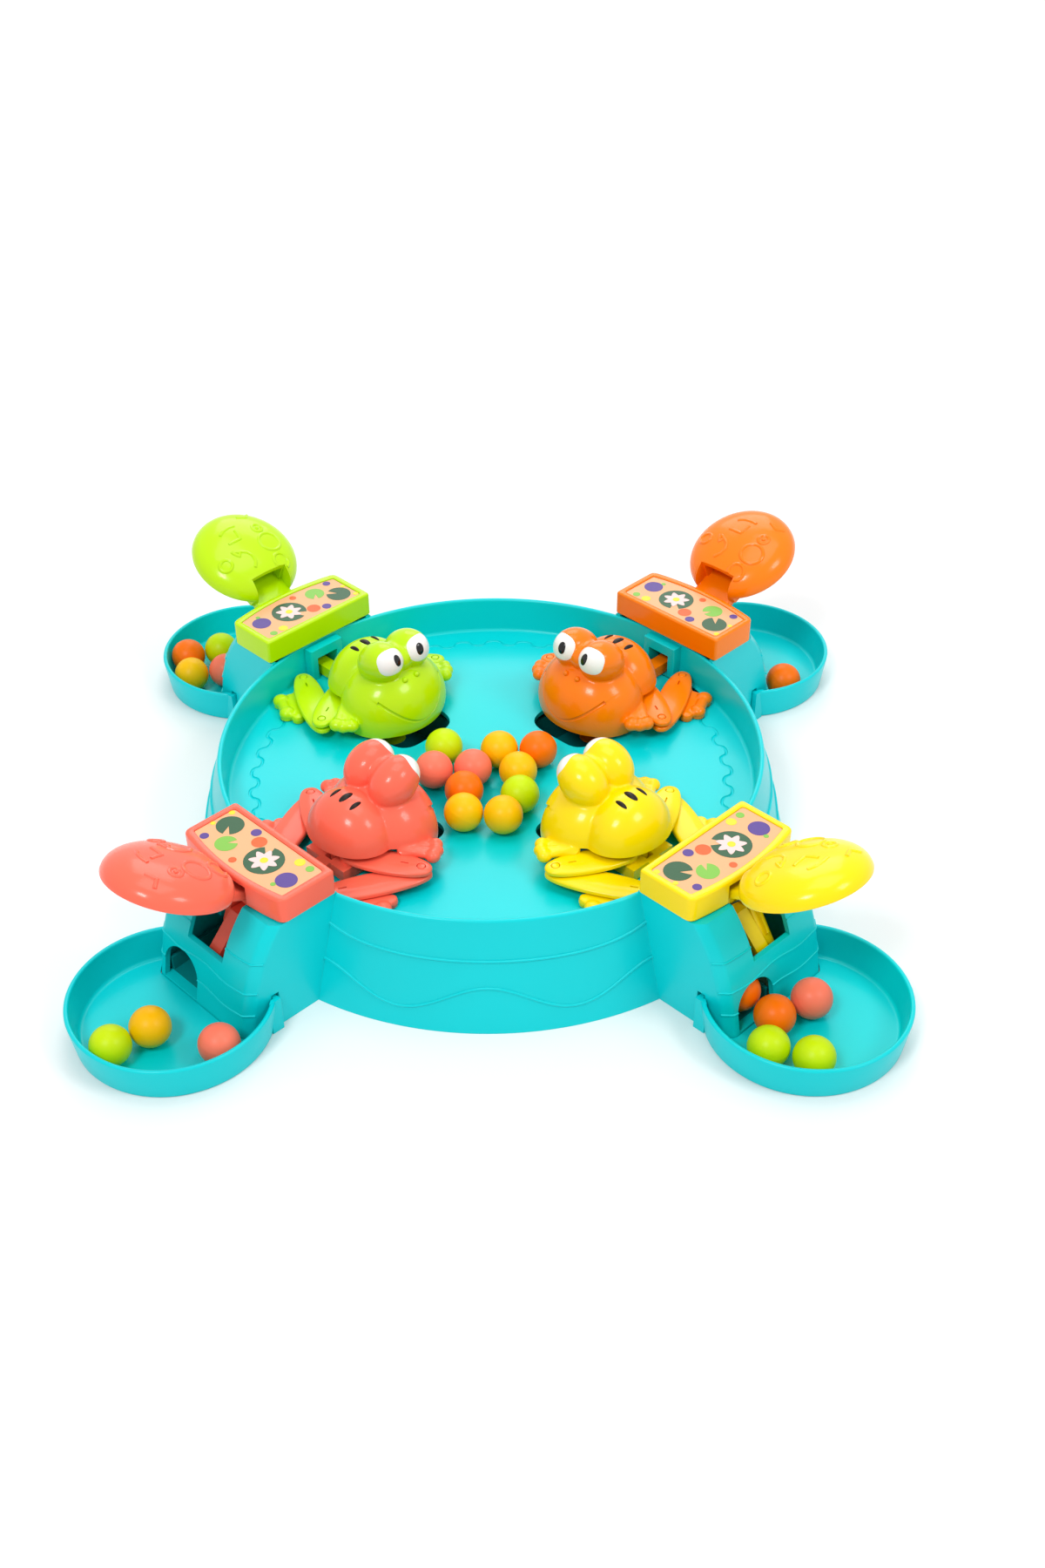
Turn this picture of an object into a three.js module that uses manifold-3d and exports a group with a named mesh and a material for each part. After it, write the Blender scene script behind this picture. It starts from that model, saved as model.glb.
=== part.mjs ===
// Frog marble grabbing game: a bowl with four lever-driven frogs that drop marbles down chutes
// into the players' trays. Millimetres, +Z up, origin at the middle of the underside.
// Each station is built in its own frame: x runs outward from the middle of the bowl,
// y across the tower, z up. A group then turns it to its place on a diagonal.
import * as THREE from 'three';
import { mergeVertices } from 'three/addons/utils/BufferGeometryUtils.js';
import Module from 'manifold-3d';

const wasm = await Module();
wasm.setup();

// Clearances
const seatGap = 0.3; // between pieces that rest on or against each other
const runGap = 0.4; // beside pieces that slide or turn
const overrun = 1; // how far a cutter reaches past the face it cuts

// Stations: the colour of the player and the direction of the tower in degrees
const stations = [
  { name: 'pink', turn: -135, colour: 0xff7460 },
  { name: 'yellow', turn: -45, colour: 0xffe000 },
  { name: 'orange', turn: 45, colour: 0xff8000 },
  { name: 'green', turn: 135, colour: 0xb2ea00 },
];

// Where a frog sits: the pivot of its head, from the middle of the bowl
const headPivotRadius = 79;

// Hole in the floor under a frog, its outer end measured forward from the head's pivot
const holeAhead = 13;
const holeLength = 30.4;
const holeHalfWidth = 15.4;
const holeCorner = 9;
const holeEnd = headPivotRadius - holeAhead;
const holeStart = holeEnd - holeLength;

// Arena bowl
const baseWall = 2;
const wallBehind = 25; // from the head's pivot to the foot of the inner wall
const wallLean = 2.5;
const outerFlare = 11;
const floorRadius = headPivotRadius + wallBehind;
const rimRadius = floorRadius + wallLean;
const footRadius = rimRadius + outerFlare;
const floorHeight = 28;
const dishRadius = holeEnd;
const dishDepth = 3;
const domeRadius = 7;
const domeHeight = 1.6;
const cavityTop = 36; // where the inner and the outer wall of the bowl meet
const bowlSides = 40;
const dishShares = [0.35, 0.65, 1];

// Carriage: the rail through the window, and the head's pivot in its middle
const windowSill = 28.2;
const railHalfWidth = 3;
const railHeight = 4.8;
const railBottom = windowSill + runGap;
const railTop = railBottom + railHeight;
const headPivotHeight = railBottom + railHeight / 2;

// Lever hinge, above the rail
const hubRadius = 4;
const hubClearance = 0.6;
const hingeHeight = railTop + hubClearance + hubRadius;
const cheekAbove = 4.5;
const cheekBelow = 14;
const cheekTop = hingeHeight + cheekAbove;
const cheekBottom = hingeHeight - cheekBelow;

// Towers: outer face, from the bottom up, as reaches from the start of the tower
const towerInside = 4; // how far a tower starts inside the foot of the inner wall
const towerStart = floorRadius - towerInside;
const towerHalfWidth = 27;
const towerHeadroom = 1.7; // above the bearing cheeks
const towerHeight = cheekTop + towerHeadroom;
const rimDrop = 0.7; // from the top of a tower down to the rim of the bowl, under the caps
const rimHeight = towerHeight - rimDrop;
const towerReach = [47.4, 46.3, 43.4, 37.3, 30.3];
const towerFaceRadius = towerReach.map((reach) => towerStart + reach);
const towerFaceHeightShares = [0, 0.167, 0.434, 0.794, 1];
const towerChamfer = 3.2;

// Openings of a tower
const windowHalfWidth = 5.3;
const windowHeight = 10.1;
const windowTop = windowSill + windowHeight;
const frameHalfWidth = 8.5;
const frameDepth = 4.7;
const frameRadius = floorRadius - frameDepth;
const slotHalfWidth = 10;
const slotBottom = 25;
const slotDepth = 16;
const exitHalfWidth = 9.6;
const exitCentre = -11.9;
const exitTop = 18.6;
const exitSpring = 10; // height where the arch of the exit begins
const grooveAlong = 31.2; // from the start of the tower
const grooveRadius = towerStart + grooveAlong;
const grooveWidth = 3.4;
const grooveTop = 15.6;

// Lever hinge and drive
const hingeAlong = 20; // from the start of the tower
const hingeRadius = towerStart + hingeAlong;
const pivotRadius = 2;
const pivotHalfLength = 13.2;
const cheekInside = 11.4;
const cheekWidth = 2;
const cheekReach = 6;
const driveLength = 25; // from the hinge to the drive peg
const driveAngle = 35; // degrees from straight down to the drive arm, lever up
const pegRadius = 1.75;
const driveInside = 3.6;
const driveWidth = 5;
const driveTipRadius = 3.2;

// Paddle
const paddleTilt = 25;
const paddleLength = 23.4; // half, along the lever
const paddleWidth = 22.6; // half, across the lever
const paddleHeight = 11;
const paddleWall = 2;
const paddleFullnessShare = 0.85;
const paddleSides = 18;
const paddleRings = 4;
const paddleNotchDepth = 8.6;
const armHalfWidth = 9.25;
const armThickness = 4;
const armDrop = 1.2; // from the paddle's edge down to the top of the arm
const armEnd = 8; // how far the arm runs past the middle of the paddle
const armBend = 6.4; // where the arm starts to bend down, measured from the hinge
const armRise = 8.24; // from the hinge square up to the plane of the paddle's edge
const paddleRibWidth = 1.6;

// Return spring round one of the lever's pivots
const springRadius = 3.1;
const springWire = 0.4;
const springPitch = 1.4;
const springTurns = 2;
const springOutside = -10.3;
const springFixedLeg = 9;
const springFreeLeg = 13.6;
const springStepsPerTurn = 8;
const springWireSides = 5;
const ledgeDepth = 3;
const ledgeReach = 6.5;

// Caps
const capSetback = 2.5; // from the start of the tower to the back of the cap
const capLength = 26.6;
const capStart = towerStart + capSetback;
const capEnd = capStart + capLength;
const capBow = 3.4;
const capHalfWidth = 27.8;
const capHeight = 10.2;
const capWall = 2;
const capCorner = 2.6;
const labelInset = 2.7;
const labelRecess = 0.8;
const capNotchHalfWidth = 10.8;
const paddleClearance = 2.1; // in plan, from the cap's edge to the paddle's

// Posts that snap the caps and the chutes on, and the shelves and ears that they go through
const postRadius = 3.2;
const postPinRadius = 1.8;
const postPinReach = 1.5; // how far the pin stands out of its shelf or ear
const capPostInside = 4; // from the hinge inward to the posts
const capPostRadius = hingeRadius - capPostInside;
const capPostOffset = 20.5;
const shelfTop = 36.5;
const shelfThickness = 2.5;
const shelfReach = 8;

// How round the small pieces are
const bossSides = 6;
const barSides = 10;

// Ball chutes
const chuteWall = 1.5;
const chuteOverlap = 1.2; // how far a chute starts before its hole
const chuteStart = holeStart - chuteOverlap;
const chuteStartFloor = 9.5;
const chuteEndFloor = 2.4;
const chuteHalfStart = 16;
const chuteHalfEnd = 8.8;
const chuteEndCentre = -12.1;
const chuteCatch = 2; // how far its wide part runs past its hole
const chuteWideEnd = holeEnd + chuteCatch;
const chuteBendAlong = 12; // from the start of the tower
const chuteBendEnd = towerStart + chuteBendAlong;
const chuteWideTop = 22.6;
const chuteLowWall = 6;
const chuteEarInside = 8; // from the hole's outer end inward
const chuteEarRadius = holeEnd - chuteEarInside;
const chuteEarOffset = 22;
const chuteEarHeight = 16;
const chuteEarHalfLength = 4.4;
const hubPlateOverlap = 2.1;
const hubPlateRadius = chuteStart + hubPlateOverlap;
const hubPlateTop = 8.2;
const hubPlateSides = 16;

// Trays
const trayAhead = 11; // from the foot of the tower's face to the middle of the tray
const trayCentre = towerFaceRadius[0] + trayAhead;
const trayRimRadius = 37.6;
const trayFootRadius = 35.8;
const trayHeight = 14.4;
const trayWall = 1.8;
const trayFloor = 1.6;
const traySides = 32;
const hookSetback = 0.8; // in the groove, from its inner face
const trayNeckStart = grooveRadius + hookSetback;
const hookThickness = 2.2;
const hookDepth = 2.3;

// Carriage's block and prongs
const blockHalfLength = 6.6;
const blockHalfWidth = 10.6;
const clevisHalfLength = 5;
const clevisHalfWidth = 1.9;
const headPinRadius = 1.5;
const prongInner = 3.1;
const prongOuter = 2.4;
const prongBelow = 6.1; // under the peg's middle, lever up
const prongHeadroom = 1.05; // above the peg, lever up
const tailBend = 7; // along the rail, its top bends down to the prongs this far past the hinge

// Legs
const ankleInside = 6.1; // from the foot of the inner wall
const ankleRadius = floorRadius - ankleInside;
const ankleOffset = 14.9;
const hipOffset = 7;
const shinLength = 36;
const thighLength = 27.7;
const legThickness = 2.4;
const legGap = 0.4;
const eyeRadius = 3.9;
const legHalfWidth = 5;
const legTaperShare = 0.55;
const jointPinRadius = 1.5;
const hipClearance = 1.2;
const pinHead = 0.5; // how far a pin stands out above the piece on it
const legSteps = 4;
const linkSides = 4; // of each round end of a plate

// Feet
const footThickness = 3.1;
const heelRadius = 4.2;
const lobeSwing = 75; // degrees that a toe's round goes to each side of its tip
const webDrawShare = 0.1;
const footLength = 24; // from the foot of the inner wall inward to the last toe
const footReach = 31.2; // across the station to the widest toe
const toeRadius = 3.2;
// Each toe: its place along the foot, across it, and how round it is
const toeShares = [[0.3375, 0.907, 1], [0.667, 1, 0.81], [0.875, 0.974, 0.81], [1, 0.785, 0.875]];

// Frog shell: places along it are measured forward from the head's pivot
const headAhead = 40.5;
const headFront = headPivotRadius - headAhead;
const headLength = 49;
const headHalfWidth = 23.4;
const headLow = 30;
const headHeight = 26;
const headWall = 2.2;
const headArcSteps = 8;
const headFullnessShare = 0.78;
// Front to back: place along the shell, half-width, lower edge and top
const headSectionShares = [
  [0, 0.3, 0.22, 0.52],
  [0.03, 0.52, 0.1, 0.66],
  [0.1, 0.76, 0, 0.78],
  [0.22, 0.93, 0, 0.9],
  [0.38, 1, 0, 0.98],
  [0.54, 0.97, 0, 1],
  [0.7, 0.93, 0, 1],
  [0.83, 0.8, 0, 0.95],
  [0.94, 0.54, 0.05, 0.78],
  [1, 0.25, 0.2, 0.58],
];
const headCavityShares = [0, 1, 2, 4, 6, 8, 9]; // the sections that the cavity follows
const rearEdgeAhead = 20.5;
const rearRiseAhead = 15;
const rearEdgeLow = 38.5;
const rearEdgeHigh = 40;
const eyeCentre = { ahead: 23, offset: 8, above: 1 }; // above the crown of the shell
const eyeSize = { length: 11, width: 8, height: 8.5 };
const eyeTilt = 30; // degrees that the eye bulges slope down to the back
const eyeSides = 8;
const eyeRings = 5;
const headRibHalfWidth = 1.4;
const headRibHalfLength = 2.6;
const handHeight = 33.6;
const handThickness = 4.6;
const handWrist = { ahead: 18.5, offset: 21 };
const handWristRadius = 3.4;
const fingerRadius = 2.6;
const fingerReach = 7.8; // from the wrist to a fingertip, the way it points
const fingerAngles = [26, 52, 76]; // degrees from straight inward
const handWebShare = 0.3;

// Marbles in the bowl: their places as shares of their radius, and the station whose colour each has
const marbleRadius = 7.5;
const marbleSides = 8;
const marbleRings = 5;
const marbles = [
  { shares: [-2.507, 1.24], like: 'green' },
  { shares: [0.44, 1.093], like: 'yellow' },
  { shares: [2.507, 0.973], like: 'orange' },
  { shares: [-0.933, -0.533], like: 'pink' },
  { shares: [-2.973, -0.8], like: 'pink' },
  { shares: [1.44, -0.8], like: 'yellow' },
  { shares: [-1.347, -2.533], like: 'orange' },
  { shares: [1.533, -2.947], like: 'green' },
  { shares: [0.693, -4.773], like: 'yellow' },
  { shares: [-1.32, -4.547], like: 'yellow' },
];

// Colours that the players' pieces don't share
const turquoise = 0x00c0cc;
const steel = 0xb8bcc2;

const degree = Math.PI / 180;
const quarterTurn = Math.PI / 2;

// Solids and geometries

function toSolid(geometry) {
  const bare = geometry.clone();
  bare.deleteAttribute('normal');
  bare.deleteAttribute('uv');
  const merged = mergeVertices(bare);
  const corners = merged.index.array;
  const places = merged.attributes.position;
  const faces = [];
  for (let i = 0; i < corners.length; i += 3) {
    const [a, b, c] = corners.slice(i, i + 3);
    if (a !== b && b !== c && c !== a) faces.push([a, b, c]);
  }
  const [p, q, r] = [0, 1, 2].map(() => new THREE.Vector3());
  let volume = 0;
  for (const [a, b, c] of faces) {
    p.fromBufferAttribute(places, a);
    q.fromBufferAttribute(places, b);
    r.fromBufferAttribute(places, c);
    volume += p.dot(q.cross(r));
  }
  const turned = volume < 0 ? faces.map(([a, b, c]) => [a, c, b]) : faces;
  return new wasm.Manifold(new wasm.Mesh({
    numProp: 3,
    vertProperties: new Float32Array(places.array),
    triVerts: new Uint32Array(turned.flat()),
  }));
}

function toGeometry(solid) {
  const mesh = solid.getMesh();
  const geometry = new THREE.BufferGeometry();
  geometry.setAttribute('position', new THREE.BufferAttribute(new Float32Array(mesh.vertProperties), 3));
  geometry.setIndex(new THREE.BufferAttribute(new Uint32Array(mesh.triVerts), 1));
  return geometry;
}

function joined(...solids) {
  return solids.reduce((whole, solid) => whole.add(solid));
}

function cut(solid, ...cutters) {
  return cutters.reduce((rest, cutter) => rest.subtract(cutter), solid);
}

function block([x0, x1], [y0, y1], [z0, z1]) {
  const geometry = new THREE.BoxGeometry(x1 - x0, y1 - y0, z1 - z0);
  geometry.translate((x0 + x1) / 2, (y0 + y1) / 2, (z0 + z1) / 2);
  return toSolid(geometry);
}

function polygon(points) {
  return new THREE.Shape(points.map(([x, y]) => new THREE.Vector2(x, y)));
}

// A plan outline raised from z0 to z1
function slab(shape, [z0, z1], curveSegments = 8) {
  const geometry = new THREE.ExtrudeGeometry(shape, { depth: z1 - z0, bevelEnabled: false, curveSegments });
  geometry.translate(0, 0, z0);
  return toSolid(geometry);
}

// A side view in x and z, as wide as y0 to y1
function side(shape, [y0, y1], curveSegments = 8) {
  const geometry = new THREE.ExtrudeGeometry(shape, { depth: y1 - y0, bevelEnabled: false, curveSegments });
  geometry.rotateX(90 * degree);
  geometry.translate(0, y1, 0);
  return toSolid(geometry);
}

function turned(points, sides) {
  const geometry = new THREE.LatheGeometry(points.map(([x, y]) => new THREE.Vector2(x, y)), sides);
  geometry.rotateX(90 * degree);
  return geometry;
}

function upright(radius, [x, y], [z0, z1], sides = bossSides) {
  const geometry = new THREE.CylinderGeometry(radius, radius, z1 - z0, sides);
  geometry.rotateX(90 * degree);
  geometry.translate(x, y, (z0 + z1) / 2);
  return toSolid(geometry);
}

// A round bar across the station
function crossbar(radius, [x, z], [y0, y1], sides = barSides) {
  const geometry = new THREE.CylinderGeometry(radius, radius, y1 - y0, sides);
  geometry.translate(x, (y0 + y1) / 2, z);
  return toSolid(geometry);
}

function ellipsoid({ length, width, height }, sides, rings) {
  const geometry = new THREE.SphereGeometry(1, sides, rings);
  geometry.scale(length, height, width);
  geometry.rotateX(90 * degree);
  return toSolid(geometry);
}

// A closed skin over rings of points that all have the same count
function loft(rings) {
  const count = rings[0].length;
  const places = rings.flat(2);
  const faces = [];
  for (let i = 0; i + 1 < rings.length; i++) {
    for (let j = 0; j < count; j++) {
      const a = i * count + j;
      const b = i * count + (j + 1) % count;
      faces.push(a, b, b + count, a, b + count, a + count);
    }
  }
  const last = (rings.length - 1) * count;
  for (let j = 1; j + 1 < count; j++) {
    faces.push(0, j + 1, j);
    faces.push(last, last + j, last + j + 1);
  }
  const geometry = new THREE.BufferGeometry();
  geometry.setAttribute('position', new THREE.Float32BufferAttribute(places, 3));
  geometry.setIndex(faces);
  return toSolid(geometry);
}

// A plate with two round ends of their own radius
function link([x0, y0], [x1, y1], r0, r1, sides = linkSides) {
  const along = Math.atan2(y1 - y0, x1 - x0);
  const lean = Math.asin((r0 - r1) / Math.hypot(x1 - x0, y1 - y0));
  const from = along + quarterTurn - lean;
  const to = along + 3 * quarterTurn + lean;
  const points = [];
  for (let i = 0; i <= sides; i++) {
    const angle = from + (to - from) * i / sides;
    points.push([x0 + r0 * Math.cos(angle), y0 + r0 * Math.sin(angle)]);
  }
  for (let i = 0; i <= sides; i++) {
    const angle = to + (4 * quarterTurn - (to - from)) * i / sides;
    points.push([x1 + r1 * Math.cos(angle), y1 + r1 * Math.sin(angle)]);
  }
  return polygon(points);
}

function mirrored(solid) {
  return solid.mirror([0, 1, 0]);
}

function bothSides(solid) {
  return joined(solid, mirrored(solid));
}

// Arena

function floorAt(radius) {
  const dip = Math.max(0, 1 + Math.cos(Math.PI * Math.min(1, radius / dishRadius)));
  return floorHeight - dishDepth * dip / 2;
}

function outerWallAt(height) {
  return footRadius - (footRadius - rimRadius) * height / rimHeight;
}

function bowlBody() {
  return toSolid(turned([[0, 0], [footRadius, 0], [rimRadius, rimHeight], [0, rimHeight]], bowlSides));
}

function bowlInside() {
  const dish = dishShares.map((share) => [dishRadius * share, floorAt(dishRadius * share)]);
  return toSolid(turned([
    [0, floorAt(0) + domeHeight],
    [domeRadius * 0.6, floorAt(0) + domeHeight * 0.7],
    [domeRadius, floorAt(domeRadius)],
    ...dish,
    [floorRadius, floorHeight],
    [rimRadius - baseWall, rimHeight],
    [rimRadius - baseWall, rimHeight + overrun],
    [0, rimHeight + overrun],
  ], bowlSides));
}

function bowlUnderside() {
  return toSolid(turned([
    [0, floorAt(0) - baseWall],
    [dishRadius, floorHeight - baseWall],
    [floorRadius + baseWall, floorHeight - baseWall],
    [floorRadius + baseWall, cavityTop],
    [outerWallAt(cavityTop) - baseWall, cavityTop],
    [outerWallAt(0) - baseWall, 0],
    [outerWallAt(0) - baseWall, -overrun],
    [0, -overrun],
  ], bowlSides));
}

function towerFace() {
  return towerFaceRadius.map((radius, i) => [radius, towerHeight * towerFaceHeightShares[i]]);
}

function towerFaceAt(height) {
  const face = towerFace();
  for (let i = 1; i < face.length; i++) {
    const [[r0, z0], [r1, z1]] = [face[i - 1], face[i]];
    if (height <= z1) return r0 + (r1 - r0) * (height - z0) / (z1 - z0);
  }
  return face[face.length - 1][0];
}

// The tower as a block, drawn in on every side by inset and let through at both ends by beyond
function towerBlock(inset, beyond) {
  const bottom = [towerFaceRadius[0], -beyond];
  const top = [towerFaceRadius[towerFaceRadius.length - 1], towerHeight + beyond];
  const face = beyond > 0 ? [bottom, ...towerFace(), top] : towerFace();
  const ring = (y, back) => [
    ...face.map(([x, z]) => [x - inset - back, y, z]),
    [towerStart, y, towerHeight + beyond],
    [towerStart, y, -beyond],
  ];
  const outside = towerHalfWidth - inset;
  const flat = outside - towerChamfer;
  return loft([ring(outside, towerChamfer), ring(flat, 0), ring(-flat, 0), ring(-outside, towerChamfer)]);
}

function exitArch() {
  const shape = new THREE.Shape();
  shape.moveTo(exitCentre - exitHalfWidth, -overrun);
  shape.lineTo(exitCentre + exitHalfWidth, -overrun);
  shape.lineTo(exitCentre + exitHalfWidth, exitSpring);
  shape.absellipse(exitCentre, exitSpring, exitHalfWidth, exitTop - exitSpring, 0, Math.PI, false);
  const depth = towerFaceRadius[0] - towerFaceRadius[3];
  const geometry = new THREE.ExtrudeGeometry(shape, { depth, bevelEnabled: false, curveSegments: 6 });
  geometry.rotateX(90 * degree);
  geometry.rotateZ(90 * degree);
  geometry.translate(towerFaceRadius[3] + overrun, 0, 0);
  return toSolid(geometry);
}

function floorHole() {
  const shape = new THREE.Shape();
  shape.moveTo(holeStart + holeCorner, -holeHalfWidth);
  shape.lineTo(holeEnd - holeCorner, -holeHalfWidth);
  shape.absarc(holeEnd - holeCorner, -holeHalfWidth + holeCorner, holeCorner, -90 * degree, 0, false);
  shape.lineTo(holeEnd, holeHalfWidth - holeCorner);
  shape.absarc(holeEnd - holeCorner, holeHalfWidth - holeCorner, holeCorner, 0, 90 * degree, false);
  shape.lineTo(holeStart + holeCorner, holeHalfWidth);
  shape.absarc(holeStart + holeCorner, holeHalfWidth - holeCorner, holeCorner, 90 * degree, 180 * degree, false);
  shape.lineTo(holeStart, -holeHalfWidth + holeCorner);
  shape.absarc(holeStart + holeCorner, -holeHalfWidth + holeCorner, holeCorner, 180 * degree, 270 * degree, false);
  return slab(shape, [floorHeight - dishDepth - baseWall - overrun, floorHeight + overrun], 4);
}

// The bearing cheeks that hold the lever's pivots, the spring's ledge and the shelves for the cap's posts
function towerFittings() {
  const back = outerWallAt(cheekBottom) - baseWall;
  const cheek = [cheekInside, cheekInside + cheekWidth];
  const cheeks = bothSides(block([back, hingeRadius + cheekReach], cheek, [cheekBottom, cheekTop]));
  const ledgeTop = hingeHeight - springRadius - springWire - runGap;
  const ledgeFront = outerWallAt(ledgeTop) - baseWall;
  const ledge = block(
    [ledgeFront, hingeRadius - springFixedLeg + ledgeReach - springRadius],
    [-cheekInside - overrun, -railHalfWidth - ledgeDepth],
    [ledgeTop - ledgeDepth, ledgeTop],
  );
  const shelf = bothSides(block(
    [outerWallAt(shelfTop) - baseWall, capPostRadius + shelfReach],
    [cheekInside + cheekWidth - overrun, towerHalfWidth - baseWall + overrun],
    [shelfTop - shelfThickness, shelfTop],
  ));
  return joined(cheeks, ledge, shelf);
}

function pivotSlots() {
  const across = [-towerHalfWidth + baseWall + overrun, towerHalfWidth - baseWall - overrun];
  const round = crossbar(pivotRadius + seatGap, [hingeRadius, hingeHeight], across);
  const open = block(
    [hingeRadius - pivotRadius - seatGap, hingeRadius + pivotRadius + seatGap],
    across,
    [hingeHeight, cheekTop + overrun],
  );
  return joined(round, open);
}

function stationCuts() {
  const rimTop = rimHeight + overrun;
  const slotShape = [towerFaceAt(towerHeight) - slotDepth / 2, towerFaceRadius[0] + overrun];
  const chuteSides = chuteRunsAt(outerWallAt(0)).map((y, i) => y + (2 * i - 1) * (chuteWall + seatGap));
  const groove = [towerHalfWidth - baseWall - overrun, towerHalfWidth + overrun];
  return [
    block([frameRadius - overrun, outerWallAt(windowSill) + overrun],
      [-windowHalfWidth, windowHalfWidth], [windowSill, windowTop]),
    block([slotShape[0], slotShape[1]], [-slotHalfWidth, slotHalfWidth], [slotBottom, rimTop + overrun]),
    exitArch(),
    floorHole(),
    bothSides(block([grooveRadius, grooveRadius + grooveWidth], groove, [-overrun, grooveTop])),
    block([towerStart - overrun, outerWallAt(0) + overrun], chuteSides,
      [-overrun, chuteTopAt(towerStart) + 2 * marbleRadius]),
    bothSides(upright(postPinRadius + seatGap, [capPostRadius, capPostOffset],
      [shelfTop - shelfThickness - overrun, shelfTop + overrun])),
    pivotSlots(),
  ];
}

function windowFrame() {
  return block([frameRadius, rimRadius - baseWall / 2], [-frameHalfWidth, frameHalfWidth],
    [floorHeight - baseWall, rimHeight]);
}

// A post that stops above the top of a shelf, with a pin that goes through it
function post([x, y], top, shelf) {
  const stop = shelf + seatGap;
  const pinEnd = shelf - shelfThickness - postPinReach;
  return joined(
    upright(postRadius, [x, y], [stop, top]),
    upright(postPinRadius, [x, y], [pinEnd, stop + overrun]),
  );
}

function chutePosts() {
  return bothSides(post([chuteEarRadius, chuteEarOffset], floorHeight - baseWall, chuteEarHeight));
}

function atStation(solid, { turn }) {
  return solid.rotate([0, 0, turn]);
}

function arenaBase() {
  const body = bowlBody();
  const everywhere = (solid) => joined(...stations.map((station) => atStation(solid, station)));
  const towers = everywhere(towerBlock(0, 0));
  const towerInsides = cut(everywhere(towerBlock(baseWall, overrun)), body);
  const fittings = cut(everywhere(towerFittings()), bowlInside());
  const frames = everywhere(windowFrame());
  const shell = cut(joined(body, towers), towerInsides, bowlInside());
  const hollow = cut(shell, cut(bowlUnderside(), everywhere(joined(towerFittings(), windowFrame()))));
  const whole = joined(hollow, fittings, frames, everywhere(chutePosts()));
  return cut(whole, ...stationCuts().map(everywhere));
}

// Ball chutes

function chuteShare(radius) {
  return (radius - chuteStart) / (chuteEnd() - chuteStart);
}

function chuteEnd() {
  return towerFaceAt(chuteEndFloor + chuteLowWall) - baseWall - 2 * runGap;
}

function chuteFloorAt(radius) {
  return chuteStartFloor + (chuteEndFloor - chuteStartFloor) * chuteShare(radius);
}

function chuteTopAt(radius) {
  return radius <= chuteWideEnd ? chuteWideTop : chuteFloorAt(radius) + chuteLowWall;
}

// The two inner side faces of the chute at a radius
function chuteRunsAt(radius) {
  const share = Math.min(1, Math.max(0, (radius - chuteWideEnd) / (chuteBendEnd - chuteWideEnd)));
  const centre = chuteEndCentre * share;
  const half = chuteHalfStart + (chuteHalfEnd - chuteHalfStart) * share;
  return [centre - half, centre + half];
}

function chuteLoft(wall, beyond) {
  const bend = chuteWideEnd + chuteLowWall;
  const radii = [chuteStart, chuteWideEnd, bend, chuteBendEnd, chuteEnd()];
  return loft(radii.map((radius) => {
    const [y0, y1] = chuteRunsAt(radius);
    const x = radius - (radius === chuteStart ? wall : 0) + (radius === chuteEnd() ? beyond : 0);
    const z = chuteFloorAt(radius) - wall;
    const top = beyond > 0 ? chuteWideTop + beyond : chuteTopAt(radius);
    return [[x, y0 - wall, z], [x, y1 + wall, z], [x, y1 + wall, top], [x, y0 - wall, top]];
  }));
}

// The four chutes and the plate that joins them, in one moulding
function ballChutes() {
  const everywhere = (solid) => joined(...stations.map((station) => atStation(solid, station)));
  const ear = block([chuteEarRadius - chuteEarHalfLength, chuteEarRadius + chuteEarHalfLength],
    [chuteHalfStart + chuteWall / 2, chuteEarOffset + chuteEarHalfLength],
    [chuteEarHeight - shelfThickness, chuteEarHeight]);
  const hole = upright(postPinRadius + seatGap, [chuteEarRadius, chuteEarOffset],
    [chuteEarHeight - shelfThickness - overrun, chuteEarHeight + overrun]);
  const plate = upright(hubPlateRadius, [0, 0], [hubPlateTop - chuteWall, hubPlateTop], hubPlateSides);
  return cut(
    joined(everywhere(joined(chuteLoft(chuteWall, 0), bothSides(ear))), plate),
    everywhere(joined(chuteLoft(0, overrun), bothSides(hole))),
  );
}

// Caps

function capOutline(inset) {
  const back = capStart + inset;
  const half = capHalfWidth - inset;
  const middle = capEnd - inset;
  const edge = middle - capBow;
  const corner = Math.max(capCorner - inset, capCorner / 3);
  const shape = new THREE.Shape();
  shape.moveTo(back, -half);
  shape.lineTo(edge - corner, -half);
  shape.quadraticCurveTo(edge, -half, edge + corner / 4, -half + corner);
  shape.quadraticCurveTo(middle + capBow, 0, edge + corner / 4, half - corner);
  shape.quadraticCurveTo(edge, half, edge - corner, half);
  shape.lineTo(back, half);
  return shape;
}

function cap() {
  const bottom = towerHeight + seatGap;
  const top = bottom + capHeight;
  const ceiling = top - capWall;
  const shell = cut(
    slab(capOutline(0), [bottom, top], 3),
    slab(capOutline(capWall), [bottom - overrun, ceiling], 3),
    slab(capOutline(labelInset), [top - labelRecess, top + overrun], 3),
    block([hingeRadius, capEnd + capBow], [-capNotchHalfWidth, capNotchHalfWidth], [bottom - overrun, ceiling]),
  );
  const capPost = post([capPostRadius, capPostOffset], ceiling + overrun / 2, shelfTop);
  const tongue = block(
    [hingeRadius - pivotRadius, hingeRadius + pivotRadius],
    [cheekInside + seatGap, cheekInside + cheekWidth - seatGap],
    [hingeHeight + pivotRadius + runGap, ceiling + overrun / 2],
  );
  return joined(shell, bothSides(joined(capPost, tongue)));
}

// Levers

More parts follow.
